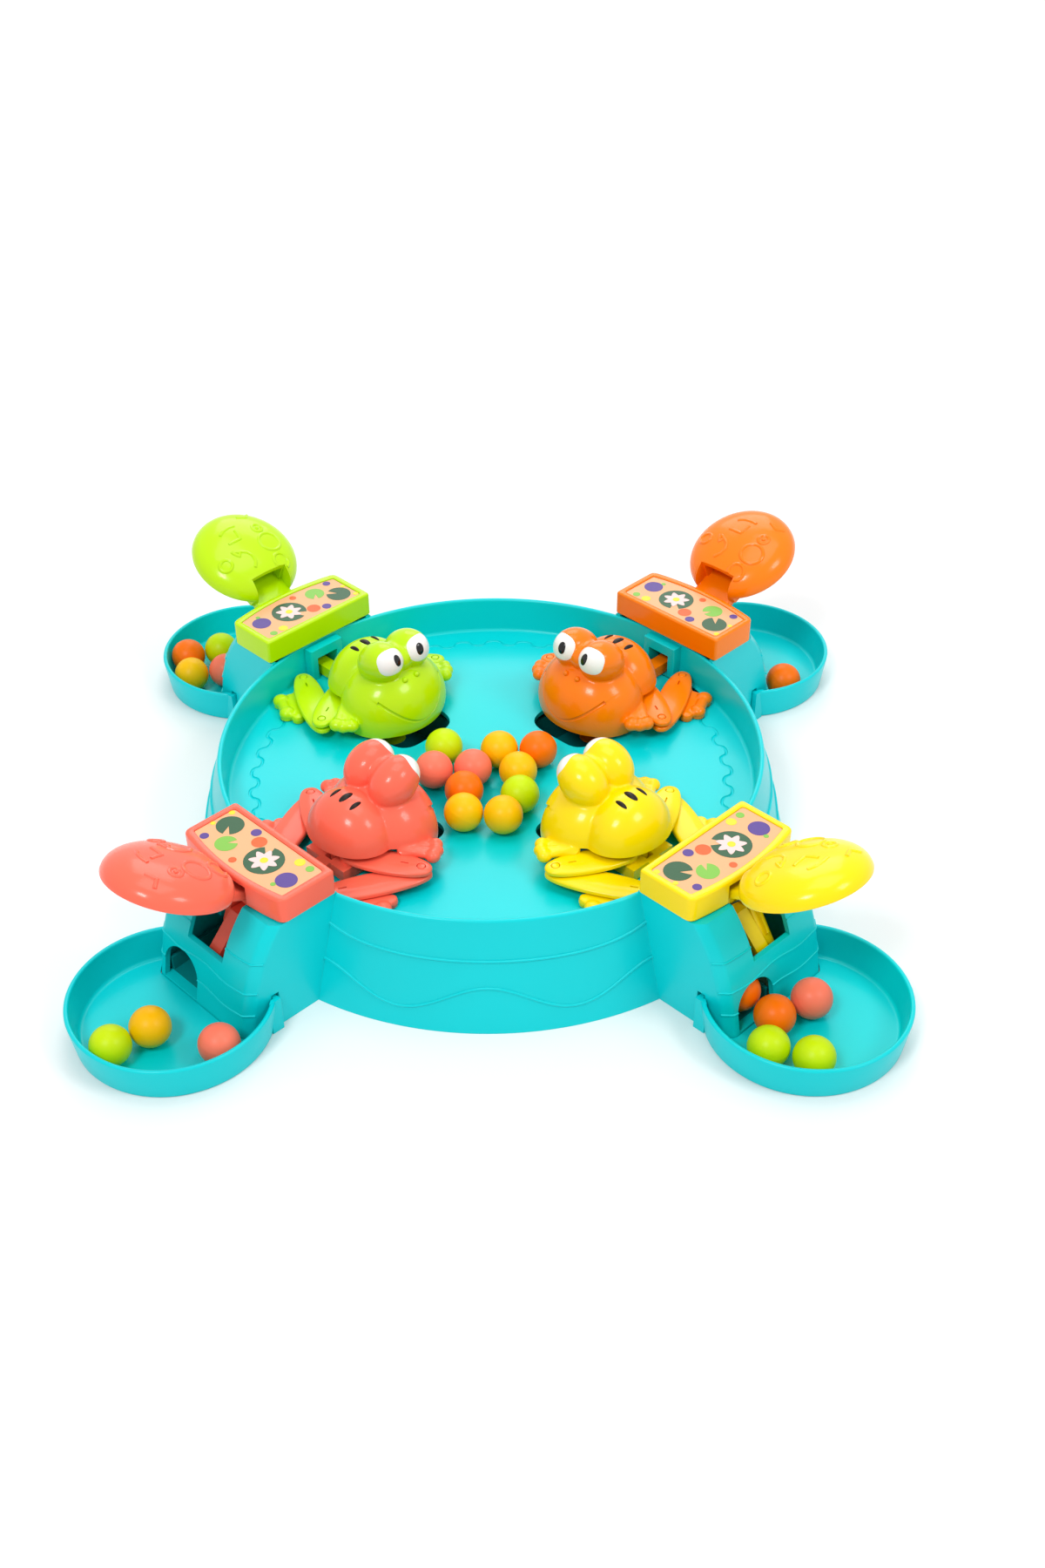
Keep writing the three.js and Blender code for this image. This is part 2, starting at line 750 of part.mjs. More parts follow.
function paddleDome(inset, below) {
  const points = [];
  for (let i = 0; i <= paddleRings; i++) {
    const angle = quarterTurn * i / paddleRings;
    points.push([
      (paddleLength - inset) * Math.cos(angle) ** paddleFullnessShare,
      (paddleHeight - inset) * Math.sin(angle) ** paddleFullnessShare,
    ]);
  }
  points[paddleRings][0] = 0;
  const geometry = turned([[0, -below], [paddleLength - inset, -below], ...points], paddleSides);
  geometry.scale(1, (paddleWidth - inset) / (paddleLength - inset), 1);
  return geometry;
}

// The paddle's inner edge clears the cap, and its plane passes the hinge at the arm's rise
function paddleCentre() {
  const tilt = paddleTilt * degree;
  const x = capEnd + paddleClearance + paddleLength * Math.cos(tilt);
  return [x, hingeHeight + (x - hingeRadius) * Math.tan(tilt) + armRise / Math.cos(tilt)];
}

function hingeFromPaddle() {
  const [centreX, centreZ] = paddleCentre();
  const [x, z] = [hingeRadius - centreX, hingeHeight - centreZ];
  const [c, s] = [Math.cos(paddleTilt * degree), Math.sin(paddleTilt * degree)];
  return [x * c + z * s, z * c - x * s];
}

function atPaddle(solid) {
  const [x, z] = paddleCentre();
  return solid.rotate([0, -paddleTilt, 0]).translate([x, 0, z]);
}

function paddle() {
  const [hingeX, hingeZ] = hingeFromPaddle();
  const dome = toSolid(paddleDome(0, 0));
  const notch = block([-paddleLength - overrun, -paddleLength + paddleNotchDepth],
    [-armHalfWidth - runGap, armHalfWidth + runGap], [-overrun, paddleHeight]);
  const shell = cut(dome, toSolid(paddleDome(paddleWall, overrun)), notch);
  const armTop = -armDrop;
  const arm = side(polygon([
    [armEnd, armTop],
    [hingeX + armBend, armTop],
    [hingeX - hubRadius * 0.5, hingeZ + hubRadius * 0.85],
    [hingeX, hingeZ - hubRadius * 0.5],
    [hingeX + armBend, armTop - armThickness],
    [armEnd, armTop - armThickness],
  ]), [-armHalfWidth, armHalfWidth]);
  const ribStart = -paddleLength + paddleNotchDepth;
  const ribTops = [armEnd, 0, ribStart / 2, ribStart].map((x) => [x, paddleDomeAt(x) - paddleWall / 2]);
  const ribs = bothSides(side(polygon([
    [ribStart, armTop - armThickness / 2],
    [armEnd, armTop - armThickness / 2],
    ...ribTops,
  ]), [armHalfWidth - paddleRibWidth, armHalfWidth]));
  return joined(shell, arm, ribs);
}

// The height of the dome above the outer edge of the arm
function paddleDomeAt(x) {
  const flat = Math.hypot(x / paddleLength, armHalfWidth / paddleWidth);
  return paddleHeight * (1 - flat ** (2 / paddleFullnessShare)) ** (paddleFullnessShare / 2);
}

function drivePeg() {
  const angle = driveAngle * degree;
  return [hingeRadius + driveLength * Math.sin(angle), hingeHeight - driveLength * Math.cos(angle)];
}

function lever() {
  const hinge = [hingeRadius, hingeHeight];
  const hubStart = springOutside + springWire + springPitch * (springTurns + 1);
  const hub = crossbar(hubRadius, hinge, [hubStart, cheekInside - runGap]);
  const drive = side(link(hinge, drivePeg(), hubRadius, driveTipRadius), [driveInside, driveInside + driveWidth]);
  const peg = crossbar(pegRadius, drivePeg(), [-railHalfWidth, driveInside + driveWidth / 2]);
  const springRoom = crossbar(hubRadius + runGap, hinge, [-cheekInside, hubStart]);
  const pivots = crossbar(pivotRadius, hinge, [-pivotHalfLength, pivotHalfLength]);
  return joined(cut(joined(atPaddle(paddle()), hub, drive, peg), springRoom), pivots);
}

function returnSpring() {
  const [hingeX, hingeZ] = hingeFromPaddle();
  const tipHeight = -armDrop - armThickness - springWire - seatGap;
  const reach = springFreeLeg;
  const tip = Math.atan2(tipHeight - hingeZ, reach);
  const far = Math.hypot(tipHeight - hingeZ, reach);
  const leave = tip - Math.acos(springRadius / far) + paddleTilt * degree;
  const start = -quarterTurn;
  const sweep = leave - start + 4 * quarterTurn * springTurns;
  const steps = Math.round(springStepsPerTurn * sweep / (4 * quarterTurn));
  const points = [new THREE.Vector3(hingeRadius - springFixedLeg, springOutside, hingeHeight - springRadius)];
  for (let i = 0; i <= steps; i++) {
    const angle = start + sweep * i / steps;
    points.push(new THREE.Vector3(
      hingeRadius + springRadius * Math.cos(angle),
      springOutside + springPitch * (angle - start) / (4 * quarterTurn),
      hingeHeight + springRadius * Math.sin(angle),
    ));
  }
  points.push(new THREE.Vector3(
    hingeRadius + far * Math.cos(tip + paddleTilt * degree),
    springOutside + springPitch * sweep / (4 * quarterTurn),
    hingeHeight + far * Math.sin(tip + paddleTilt * degree),
  ));
  const section = [];
  for (let i = 0; i < springWireSides; i++) {
    const angle = 4 * quarterTurn * i / springWireSides;
    section.push([springWire * Math.cos(angle), springWire * Math.sin(angle)]);
  }
  return toSolid(new THREE.ExtrudeGeometry(polygon(section), {
    steps: steps + springStepsPerTurn / 2,
    extrudePath: new THREE.CatmullRomCurve3(points),
  }));
}

// Carriages

function carriage() {
  const [pegX, pegZ] = drivePeg();
  const slotInner = pegX - pegRadius - runGap;
  const slotOuter = pegX + pegRadius + runGap;
  const slotTop = pegZ + pegRadius + prongHeadroom;
  const prongBottom = pegZ - prongBelow;
  const end = slotOuter + prongOuter;
  const rail = side(polygon([
    [headPivotRadius + blockHalfLength - overrun, railBottom],
    [hingeRadius, railBottom],
    [slotInner - prongInner, slotTop],
    [slotInner - prongInner, prongBottom],
    [slotInner, prongBottom],
    [slotInner, slotTop],
    [slotOuter, slotTop],
    [slotOuter, prongBottom],
    [end, prongBottom],
    [end, slotTop + pegRadius / 2],
    [end - pegRadius, slotTop + pegRadius * 1.5],
    [hingeRadius + tailBend, railTop],
    [headPivotRadius + blockHalfLength - overrun, railTop],
  ]), [-railHalfWidth, railHalfWidth]);
  const hip = [headPivotRadius, hipOffset];
  const front = cut(
    block([headPivotRadius - blockHalfLength, headPivotRadius + blockHalfLength],
      [-blockHalfWidth, blockHalfWidth], [railBottom, railTop]),
    block([headPivotRadius - clevisHalfLength, headPivotRadius + clevisHalfLength],
      [-clevisHalfWidth, clevisHalfWidth], [railBottom - overrun, railTop + overrun]),
  );
  const pin = crossbar(headPinRadius, [headPivotRadius, headPivotHeight],
    [-clevisHalfWidth - overrun, clevisHalfWidth + overrun]);
  const hipSeat = upright(eyeRadius - seatGap, hip, [railTop - overrun, thighBottom() - legGap]);
  const hipPin = upright(jointPinRadius, hip, [railTop - overrun, thighBottom() + legThickness + pinHead]);
  return joined(rail, front, pin, bothSides(joined(hipSeat, hipPin)));
}

// Frog shells

function headSection([along, width, low, top], inset, beyond) {
  const half = headHalfWidth * width - inset;
  const bottom = headLow + headHeight * low * (beyond > 0 ? 0 : 1) - beyond;
  const height = headLow + headHeight * top - inset - bottom;
  const middle = headFront + headLength / 2;
  const x = middle + (headLength / 2 - inset) * (2 * along - 1);
  const ring = [];
  for (let i = 0; i <= headArcSteps; i++) {
    const angle = Math.PI * i / headArcSteps;
    const c = Math.cos(angle);
    ring.push([
      x,
      half * Math.sign(c) * Math.abs(c) ** headFullnessShare,
      bottom + height * Math.max(0, Math.sin(angle)) ** headFullnessShare,
    ]);
  }
  return ring;
}

function hand() {
  const wrist = [headPivotRadius - handWrist.ahead, handWrist.offset];
  const fingers = fingerAngles.map((angle) => [
    wrist[0] - fingerReach * Math.cos(angle * degree),
    wrist[1] + fingerReach * Math.sin(angle * degree),
    fingerRadius,
  ]);
  const outline = webbed([[...wrist, handWristRadius], ...fingers], handWebShare);
  return slab(polygon(outline), [handHeight, handHeight + handThickness]);
}

function frogHead() {
  const outside = loft(headSectionShares.map((section) => headSection(section, 0, 0)));
  const inside = loft(headCavityShares.map((i) => headSection(headSectionShares[i], headWall, overrun)));
  const eye = ellipsoid(eyeSize, eyeSides, eyeRings)
    .rotate([0, eyeTilt, 0])
    .translate([headPivotRadius - eyeCentre.ahead, eyeCentre.offset, headLow + headHeight + eyeCentre.above]);
  const back = headFront + headLength + overrun;
  const rear = side(polygon([
    [headPivotRadius - rearEdgeAhead, headLow - overrun],
    [back, headLow - overrun],
    [back, rearEdgeHigh],
    [headPivotRadius - rearRiseAhead, rearEdgeLow],
    [headPivotRadius - rearEdgeAhead, headLow],
  ]), [-headHalfWidth - overrun, headHalfWidth + overrun]);
  const shell = joined(cut(joined(outside, bothSides(eye)), inside, rear), cut(bothSides(hand()), inside));
  const rib = joined(
    block([headPivotRadius - headRibHalfLength, headPivotRadius + headRibHalfLength],
      [-headRibHalfWidth, headRibHalfWidth], [headPivotHeight, headLow + headHeight]).intersect(outside),
    crossbar(headRibHalfLength, [headPivotRadius, headPivotHeight], [-headRibHalfWidth, headRibHalfWidth]),
  );
  const bore = crossbar(headPinRadius + runGap, [headPivotRadius, headPivotHeight],
    [-headRibHalfWidth - overrun, headRibHalfWidth + overrun]);
  return joined(shell, cut(rib, bore));
}

// Legs

function shinBottom() {
  return floorHeight + seatGap + footThickness + legGap;
}

function thighBottom() {
  return shinBottom() + legThickness + legGap;
}

// Where the knee lies, from the lengths of the two bones
function knee() {
  const [dx, dy] = [headPivotRadius - ankleRadius, hipOffset - ankleOffset];
  const span = Math.hypot(dx, dy);
  const along = (shinLength ** 2 - thighLength ** 2 + span ** 2) / (2 * span);
  const beside = Math.sqrt(shinLength ** 2 - along ** 2);
  return [
    ankleRadius + (dx * along + dy * beside) / span,
    ankleOffset + (dy * along - dx * beside) / span,
  ];
}

// A leaf-shaped bone from one joint to the other, widest in the middle
function bone([x0, y0], [x1, y1], bottom, farPin) {
  const [dx, dy] = [x1 - x0, y1 - y0];
  const length = Math.hypot(dx, dy);
  const points = [];
  for (const side of [1, -1]) {
    for (let i = 1; i < 2 * legSteps; i++) {
      const share = side * Math.cos(Math.PI * i / (2 * legSteps));
      const along = length / 2 - (length / 2 + eyeRadius) * share;
      const half = side * legHalfWidth * Math.sin(Math.PI * i / (2 * legSteps)) ** legTaperShare;
      points.push([x0 + (dx * along - dy * half) / length, y0 + (dy * along + dx * half) / length]);
    }
  }
  const plate = slab(polygon(points), [bottom, bottom + legThickness]);
  if (!farPin) return plate;
  const pinTop = bottom + 2 * legThickness + legGap + pinHead;
  return joined(plate, upright(jointPinRadius, [x1, y1], [bottom, pinTop]));
}

function boreAt(place, radius, bottom) {
  return upright(radius, place, [bottom - overrun, bottom + legThickness + overrun]);
}

function shin() {
  const ankle = [ankleRadius, ankleOffset];
  return cut(bone(ankle, knee(), shinBottom(), true), boreAt(ankle, jointPinRadius + runGap, shinBottom()));
}

function thigh() {
  const hip = [headPivotRadius, hipOffset];
  return cut(
    bone(knee(), hip, thighBottom(), false),
    boreAt(knee(), jointPinRadius + runGap, thighBottom()),
    boreAt(hip, jointPinRadius + hipClearance, thighBottom()),
  );
}

// The outline round a set of round lobes, each [x, y, radius], with a web drawn in between them
function webbed(lobes, drawShare) {
  const middle = [0, 1].map((axis) => lobes.reduce((sum, lobe) => sum + lobe[axis], 0) / lobes.length);
  const points = [];
  lobes.forEach(([x, y, round], i) => {
    const [nextX, nextY] = lobes[(i + 1) % lobes.length];
    const facing = Math.atan2(y - middle[1], x - middle[0]);
    for (const swing of [lobeSwing, 0, -lobeSwing]) {
      const angle = facing + swing * degree;
      points.push([x + round * Math.cos(angle), y + round * Math.sin(angle)]);
    }
    const valley = [(x + nextX) / 2, (y + nextY) / 2];
    points.push(valley.map((place, axis) => place + (middle[axis] - place) * drawShare));
  });
  return points;
}

function foot() {
  const ankle = [ankleRadius, ankleOffset];
  const heights = [floorHeight + seatGap, floorHeight + seatGap + footThickness];
  const tips = toeShares.map(([along, across, round]) => [
    floorRadius - footLength * along,
    footReach * across,
    toeRadius * round,
  ]);
  const outline = webbed([...tips, [...ankle, heelRadius]].reverse(), webDrawShare);
  const pin = upright(jointPinRadius, ankle, [heights[0], shinBottom() + legThickness + pinHead]);
  return joined(slab(polygon(outline), heights), pin);
}

// Trays

function tray() {
  const flare = trayRimRadius - trayFootRadius;
  const bowl = turned([
    [0, 0], [trayFootRadius, 0], [trayRimRadius, trayHeight],
    [trayRimRadius - trayWall, trayHeight],
    [trayFootRadius - trayWall + flare * trayFloor / trayHeight, trayFloor], [0, trayFloor],
  ], traySides);
  bowl.translate(trayCentre, 0, 0);
  const solidBowl = turned([[0, 0], [trayFootRadius, 0], [trayRimRadius, trayHeight], [0, trayHeight]], traySides);
  solidBowl.translate(trayCentre, 0, 0);
  const neckHalf = towerHalfWidth + seatGap;
  const sides = bothSides(block([trayNeckStart, trayCentre - trayFootRadius * 0.6],
    [neckHalf, neckHalf + trayWall], [0, trayHeight]));
  const hooks = bothSides(block([trayNeckStart, trayNeckStart + hookThickness],
    [neckHalf - hookDepth, neckHalf + trayWall], [0, trayHeight]));
  const keepOut = joined(
    tallTower(seatGap),
    block([towerStart, trayNeckStart], [-trayRimRadius, trayRimRadius], [-overrun, trayHeight + overrun]),
  );
  const neck = cut(sides, cut(toSolid(solidBowl), toSolid(bowl)));
  return joined(cut(joined(toSolid(bowl), neck), keepOut), hooks);
}

// The space that the tower takes, grown by a gap on all sides
function tallTower(gap) {
  return towerBlock(-gap, overrun);
}

// Marbles

function marble(shares) {
  const [x, y] = shares.map((share) => marbleRadius * share);
  const geometry = new THREE.SphereGeometry(marbleRadius, marbleSides, marbleRings);
  geometry.rotateX(90 * degree);
  geometry.translate(x, y, floorAt(Math.hypot(x, y)) + marbleRadius + seatGap);
  return toSolid(geometry);
}

// Scene graph

function finish(colour, roughness, metalness = 0) {
  return new THREE.MeshStandardMaterial({ color: colour, roughness, metalness });
}

function meshOf(name, solid, material) {
  const mesh = new THREE.Mesh(toGeometry(solid), material);
  mesh.name = name;
  return mesh;
}

const shapes = {
  cap: cap(),
  lever: lever(),
  return_spring: returnSpring(),
  carriage: carriage(),
  frog_head: frogHead(),
  shin_left: shin(),
  shin_right: mirrored(shin()),
  thigh_left: thigh(),
  thigh_right: mirrored(thigh()),
  foot_left: foot(),
  foot_right: mirrored(foot()),
  tray: tray(),
};
const looks = {
  return_spring: () => finish(steel, 0.35, 1),
  tray: () => finish(turquoise, 0.3),
};

const game = new THREE.Group();
game.add(meshOf('arena_base', arenaBase(), finish(turquoise, 0.3)));
game.add(meshOf('ball_chutes', ballChutes(), finish(turquoise, 0.4)));
for (const station of stations) {
  const group = new THREE.Group();
  group.rotation.z = station.turn * degree;
  for (const [name, shape] of Object.entries(shapes)) {
    const look = looks[name] ? looks[name]() : finish(station.colour, 0.3);
    group.add(meshOf(`${name}_${station.name}`, shape, look));
  }
  game.add(group);
}
marbles.forEach(({ shares, like }, i) => {
  const { colour } = stations.find(({ name }) => name === like);
  game.add(meshOf(`marble_${i + 1}`, marble(shares), finish(colour, 0.45)));
});

export default game;
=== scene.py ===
import math

import bpy
import numpy as np
from mathutils import Matrix, Vector
from mathutils.bvhtree import BVHTree

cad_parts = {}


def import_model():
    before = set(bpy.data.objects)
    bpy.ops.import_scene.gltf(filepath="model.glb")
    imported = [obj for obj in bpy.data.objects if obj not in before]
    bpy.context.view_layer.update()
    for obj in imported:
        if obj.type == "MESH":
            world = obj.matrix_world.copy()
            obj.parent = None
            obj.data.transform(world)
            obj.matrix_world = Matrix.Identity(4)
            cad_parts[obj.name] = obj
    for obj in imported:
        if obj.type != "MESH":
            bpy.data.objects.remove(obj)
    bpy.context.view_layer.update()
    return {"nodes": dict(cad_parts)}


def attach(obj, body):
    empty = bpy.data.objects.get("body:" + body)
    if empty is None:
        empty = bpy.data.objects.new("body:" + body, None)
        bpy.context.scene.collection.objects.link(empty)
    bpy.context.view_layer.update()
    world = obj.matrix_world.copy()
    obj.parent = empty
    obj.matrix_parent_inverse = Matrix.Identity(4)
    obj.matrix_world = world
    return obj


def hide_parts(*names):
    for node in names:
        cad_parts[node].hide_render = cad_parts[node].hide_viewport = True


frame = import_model()

MM = 0.001

# Stations: the direction of the tower in degrees, and which way round its paddle's relief runs
STATIONS = {"pink": (-135, 1), "yellow": (-45, 1), "orange": (45, -1), "green": (135, -1)}

# Arena bowl, in millimetres as all sizes below
BASE_WALL = 2.0
RIM_RADIUS = 106.5
RIM_HEIGHT = 43.5
FOOT_RADIUS = 117.5
FLOOR_RADIUS = 104.0
FLOOR_HEIGHT = 28.0
FLOOR_FILLET = 1.5
DISH_RADIUS = 66.0
DISH_DEPTH = 3.0
DOME_RADIUS = 7.0
DOME_HEIGHT = 1.6
CAVITY_TOP = 36.0
ARENA_SIDES = 240
OVERRUN = 1.0
BEVEL_ANGLE = math.radians(30)
CORNER_SHARE = 0.49
NEARLY_UPRIGHT = 0.1
RUN_GAP = 0.4
SEAT_GAP = 0.3

# Towers
TOWER_START = 100.0
TOWER_HALF_WIDTH = 27.0
TOWER_HEIGHT = 44.2
TOWER_FACE = [(0, 147.4), (0.167, 146.3), (0.434, 143.4), (0.794, 137.3), (1, 130.3)]
TOWER_CHAMFER = 3.2
TOWER_CORNER = 1.2
LIP_WIDTH = 4.8
LIP_THICKNESS = 1.5
WINDOW_HALF_WIDTH = 5.3
WINDOW_SILL = 28.2
WINDOW_TOP = 38.3
FRAME_HALF_WIDTH = 8.5
FRAME_ROUND = 1.0
FRAME_RADIUS = 99.3
SLOT_HALF_WIDTH = 10.0
SLOT_BOTTOM = 25.0
SLOT_DEPTH = 16.0
EXIT_HALF_WIDTH = 9.6
EXIT_CENTRE = -11.9
EXIT_TOP = 18.6
EXIT_SPRING = 10.0
EXIT_SILL = 2.2
EXIT_SILL_START = 143.1
GROOVE_RADIUS = 131.2
GROOVE_WIDTH = 3.4
GROOVE_TOP = 15.6
HOLE_START = 35.6
HOLE_END = 66.0
HOLE_HALF_WIDTH = 15.4
HOLE_CORNER = 9.0

# Fittings inside a tower
HINGE_RADIUS = 120.0
HINGE_HEIGHT = 38.0
PIVOT_RADIUS = 2.0
PIVOT_HALF_LENGTH = 13.2
CHEEK_INSIDE = 11.4
CHEEK_WIDTH = 2.0
CHEEK_REACH = 6.0
CHEEK_TOP = 42.5
CHEEK_BOTTOM = 24.0
LEDGE = ((107.2, 114.4), (-12.4, -6.0), (31.1, 34.1))
POST_RADIUS = 3.2
PIN_RADIUS = 1.8
PIN_REACH = 1.5
CAP_POST_RADIUS = 116.0
CAP_POST_OFFSET = 20.5
SHELF_TOP = 36.5
SHELF_THICKNESS = 2.5
SHELF_REACH = 8.0
CHUTE_PASSAGE = ((99.0, 118.5), (-22.7, -1.5), (-1.0, 28.0))
EAR_RADIUS = 58.0
EAR_OFFSET = 22.0
EAR_HEIGHT = 16.0

# Relief lines of the arena
WAVE_RADIUS = 93.6
WAVE_SWING = 1.7
WAVE_COUNT = 44
WAVE_HALF_SPAN = 28.5
WAVE_LINE = 0.6
WAVE_ROUND = 0.3
RIDGE = 0.55
# Middles of the outer wall's four parts between the towers, in degrees
QUARTERS = (0, 90, 180, 270)
WALL_HALF_SPAN = 31.6
UPPER_RIDGE = (28.2, 4.6, 5)
LOWER_RIDGE = (13.0, 4.9, 32.0)
TOWER_RIDGES = [(31.0, 0.5), (19.6, 0.7), (10.4, 0.7)]
TOWER_RIDGE = 0.4

# Caps and labels
CAP_START = 102.5
CAP_EDGE = 126.3
CAP_BOW = 3.1
CAP_BOW_START = 2.2
CAP_HALF_WIDTH = 27.8
CAP_HEIGHT = 10.2
CAP_WALL = 2.0
CAP_CORNER = 2.8
CAP_BACK_CORNER = 1.4
CAP_ROUND = 0.9
LABEL_INSET = 2.7
LABEL_RECESS = 0.8
LABEL_THICKNESS = 0.25
INK = 0.06
# Inks of the design with places from the label's middle: pads with radius and heading, dots with radius
PADS = [
    ("dark_green", (1.6, 5.6), 7.4, 215), ("dark_green", (-2.2, -18.6), 5.2, 35),
    ("light_green", (5.2, -11.4), 4.2, 150),
]
PAD_NOTCH = 14.0
PAD_HEART_SHARE = 0.15
DOTS = {
    "light_green": [(-6.8, 20.6, 1.6), (7.4, 17.8, 1.0)],
    "purple": [(2.8, 19.4, 4.0), (-6.2, -8.6, 2.0), (8.0, -20.4, 1.7)],
    "orange": [(-3.6, -3.6, 2.9), (9.2, -2.6, 1.5)],
    "yellow": [(-6.6, 15.4, 2.0), (1.4, -24.0, 1.0), (-7.2, -24.0, 1.2)],
}
PETALS = 7
PETAL_LENGTH = 5.6
PETAL_WIDTH = 3.0
PETAL_TAPER = 0.35
FLOWER_HEART = 1.5
CAP_NOTCH_HALF_WIDTH = 10.8

# Levers
HUB_RADIUS = 4.0
DRIVE_LENGTH = 25.0
DRIVE_ANGLE = 35.0
PEG_RADIUS = 1.75
DRIVE_INSIDE = 3.6
DRIVE_WIDTH = 5.0
DRIVE_TIP_RADIUS = 3.2
FLANGE_SHARE = 0.5
DRIVE_RIB_SHARES = (0.1, 0.12, 0.8, 0.9)
RAIL_HALF_WIDTH = 3.0
PADDLE_CENTRE = (152.4, 62.2)
PADDLE_TILT = 25.0
PADDLE_LENGTH = 23.4
PADDLE_WIDTH = 22.6
PADDLE_HEIGHT = 10.8
PADDLE_WALL = 2.0
PADDLE_FULLNESS = 0.85
PADDLE_NOTCH = 8.6
PADDLE_ROUND = 0.7
PADDLE_SIDES = 96
DOME_START_SHARE = 0.03
RELIEF = 0.85
RELIEF_SINK = 0.35
RELIEF_RINGS = [((-2.5, 9.5), 4.7), ((-12.6, 8.5), 3.4), ((6.0, 9.2), 2.2), ((-4.0, -14.6), 2.6)]
RELIEF_DOT = ((6.0, 9.2), (0.9, 0.9, 0.6))
RELIEF_LINES = [
    [(-11, -4.5), (-8.6, -2.6), (-5.5, -2.2), (-3.2, -3.4), (-1.5, -6)],
    [(-1.5, -6), (-3.6, -7.4), (-0.4, -9.2), (-1.5, -6)],
    [(4, -7.5), (4, -1.4), (9, -0.6)],
    [(9.7, -7.7), (11.2, -5.2), (11.8, -2), (11.5, 1)],
    [(-17.5, -6.5), (-16.5, -2), (-17.5, 2.2)],
    [(15.5, 5.5), (13.6, 9.6), (15.8, 12)],
]
ARM_HALF_WIDTH = 9.25
ARM_THICKNESS = 4.0
ARM_DROP = 1.2
ARM_END = 8.0
ARM_BEND = 6.4
ARM_ROUND = 0.8
ARM_HUB_SHARES = (0.5, 0.85)
RIB_WIDTH = 1.6
SPRING_WIRE = 0.4
SPRING_PITCH = 1.4
SPRING_TURNS = 2
SPRING_OUTSIDE = -10.3

# Trays
TRAY_CENTRE = 158.4
TRAY_RIM_RADIUS = 37.6
TRAY_FOOT_RADIUS = 35.8
TRAY_HEIGHT = 14.4
TRAY_WALL = 1.8
TRAY_FLOOR = 1.6
TRAY_FILLET = 1.6
TRAY_SIDES = 160
TRAY_NECK_START = 132.0
TRAY_NECK_SHARE = 0.6
HOOK_THICKNESS = 2.2
HOOK_DEPTH = 2.3

# Marbles
MARBLE_RADIUS = 7.5
SEAM = 0.06
SEAM_SPAN = 2.5
GATE_RADIUS = 0.6
GOLDEN = math.radians(137.5)
BOWL_MARBLES = [
    (-18.8, 9.3, "green"), (3.3, 8.2, "yellow"), (18.8, 7.3, "orange"), (-7.0, -4.0, "pink"),
    (-22.3, -6.0, "pink"), (10.8, -6.0, "yellow"), (-10.1, -19.0, "orange"), (11.5, -22.1, "green"),
    (5.2, -35.8, "yellow"), (-9.9, -34.1, "yellow"),
]
# Station, place along and across it, height of the middle, colour
LOOSE_MARBLES = [
    ("yellow", 158.4, 3.6, 9.4, "pink"), ("yellow", 154.4, -12.2, 9.4, "orange"),
    ("yellow", 162.4, -25.6, 9.4, "green"), ("yellow", 176.5, -18.5, 9.4, "green"),
    ("yellow", 138.4, -12.1, 10.5, "orange"), ("pink", 170.4, 3.3, 9.4, "yellow"),
    ("pink", 185.6, 1.0, 9.4, "green"), ("pink", 158.4, 27.2, 9.4, "pink"),
    ("green", 178.7, 18.3, 9.4, "orange"), ("green", 165.5, 26.4, 9.4, "yellow"),
    ("green", 157.0, 13.6, 9.4, "pink"), ("green", 172.3, 4.5, 9.4, "green"),
    ("orange", 154.8, -26.2, 9.4, "orange"),
]

# Frog shells: ellipsoids as a centre and radii
MUZZLE = ((57.5, 0, 35.0), (19.5, 23.5, 20.5))
BACK = ((72.5, 0, 37.5), (15.0, 18.5, 18.5))
SADDLE = ((54.5, 0, 57.5), (7.5, 6.0, 6.0))
EYE = ((56.0, 7.0, 57.0), (11.0, 8.5, 8.5))
EYE_TILT = 30.0
NOSTRIL = ((45.9, 3.1, 51.4), (1.2, 1.2, 1.2))
SMILE = (34.5, 11.0, 16.6)
SMILE_POWER = 1.9
JAW_SET = 0.5
JAW_FADE = 4.0
GROOVE = 0.9
HEAD_LOW = 30.0
HEAD_LOW_SHARE = 0.97
HEAD_VOXEL = 0.5
HEAD_SMOOTHING = 4
SMOOTHING_FACTOR = 0.5
HEAD_WALL = 2.2
HEAD_ROOM = 40.0
WRIST = (60.5, 22.5, 36.5)
SHOULDER = (66.0, 19.0, 38.0)
FINGER_ANGLES = (26, 52, 76)
FINGER_REACH = 7.6
FINGER_RADIUS = 2.9
FINGER_FLAT_SHARE = 0.9
FINGER_ROOT_SHARE = 0.55
PALM = 2.2
PALM_REACH = (4.0, -6.0)
ELBOW_SET = (2.0, -3.0, 0.5)
REAR_EDGE = ((58.5, 30.0), (64.0, 38.5), 40.0)
REAR_FORE = 19.5
REAR_AFT = 26.0
REAR_STEP = 67.0
HEAD_PIVOT = (79.0, 31.0)
HEAD_PIN = 1.5
RIB_HALF = 2.6
RIB_SIDE = 1.4
RIB_TOP = 51.0

# Eyes and marks laid on a shell
GAZE_RISE = 28.0
GAZE_ASIDE = 0.07
# Half widths and heights, fullness of the oval and the share of it that is rounded
EYE_WHITE = (6.3, 5.5, 0.82, 0.2)
PUPIL = (1.75, 2.75, 0.95, 0.3)
MARK_EDGE_SHARE = 0.9
RAY_START = 30.0
PUPIL_IN = 1.7
PUPIL_DOWN = 0.2
PUPIL_TURN = 8.0
PATCH_RINGS = 8
PATCH_SINK = 0.3
PATCH_RISE = 0.25
PUPIL_RISE = 0.35
MARK_RISE = 0.6
BACK_MARKS = [(73.4, 0.0, 3.4, 1.5), (73.7, 5.5, 2.9, 0.9), (73.7, -5.5, 2.9, 0.9)]

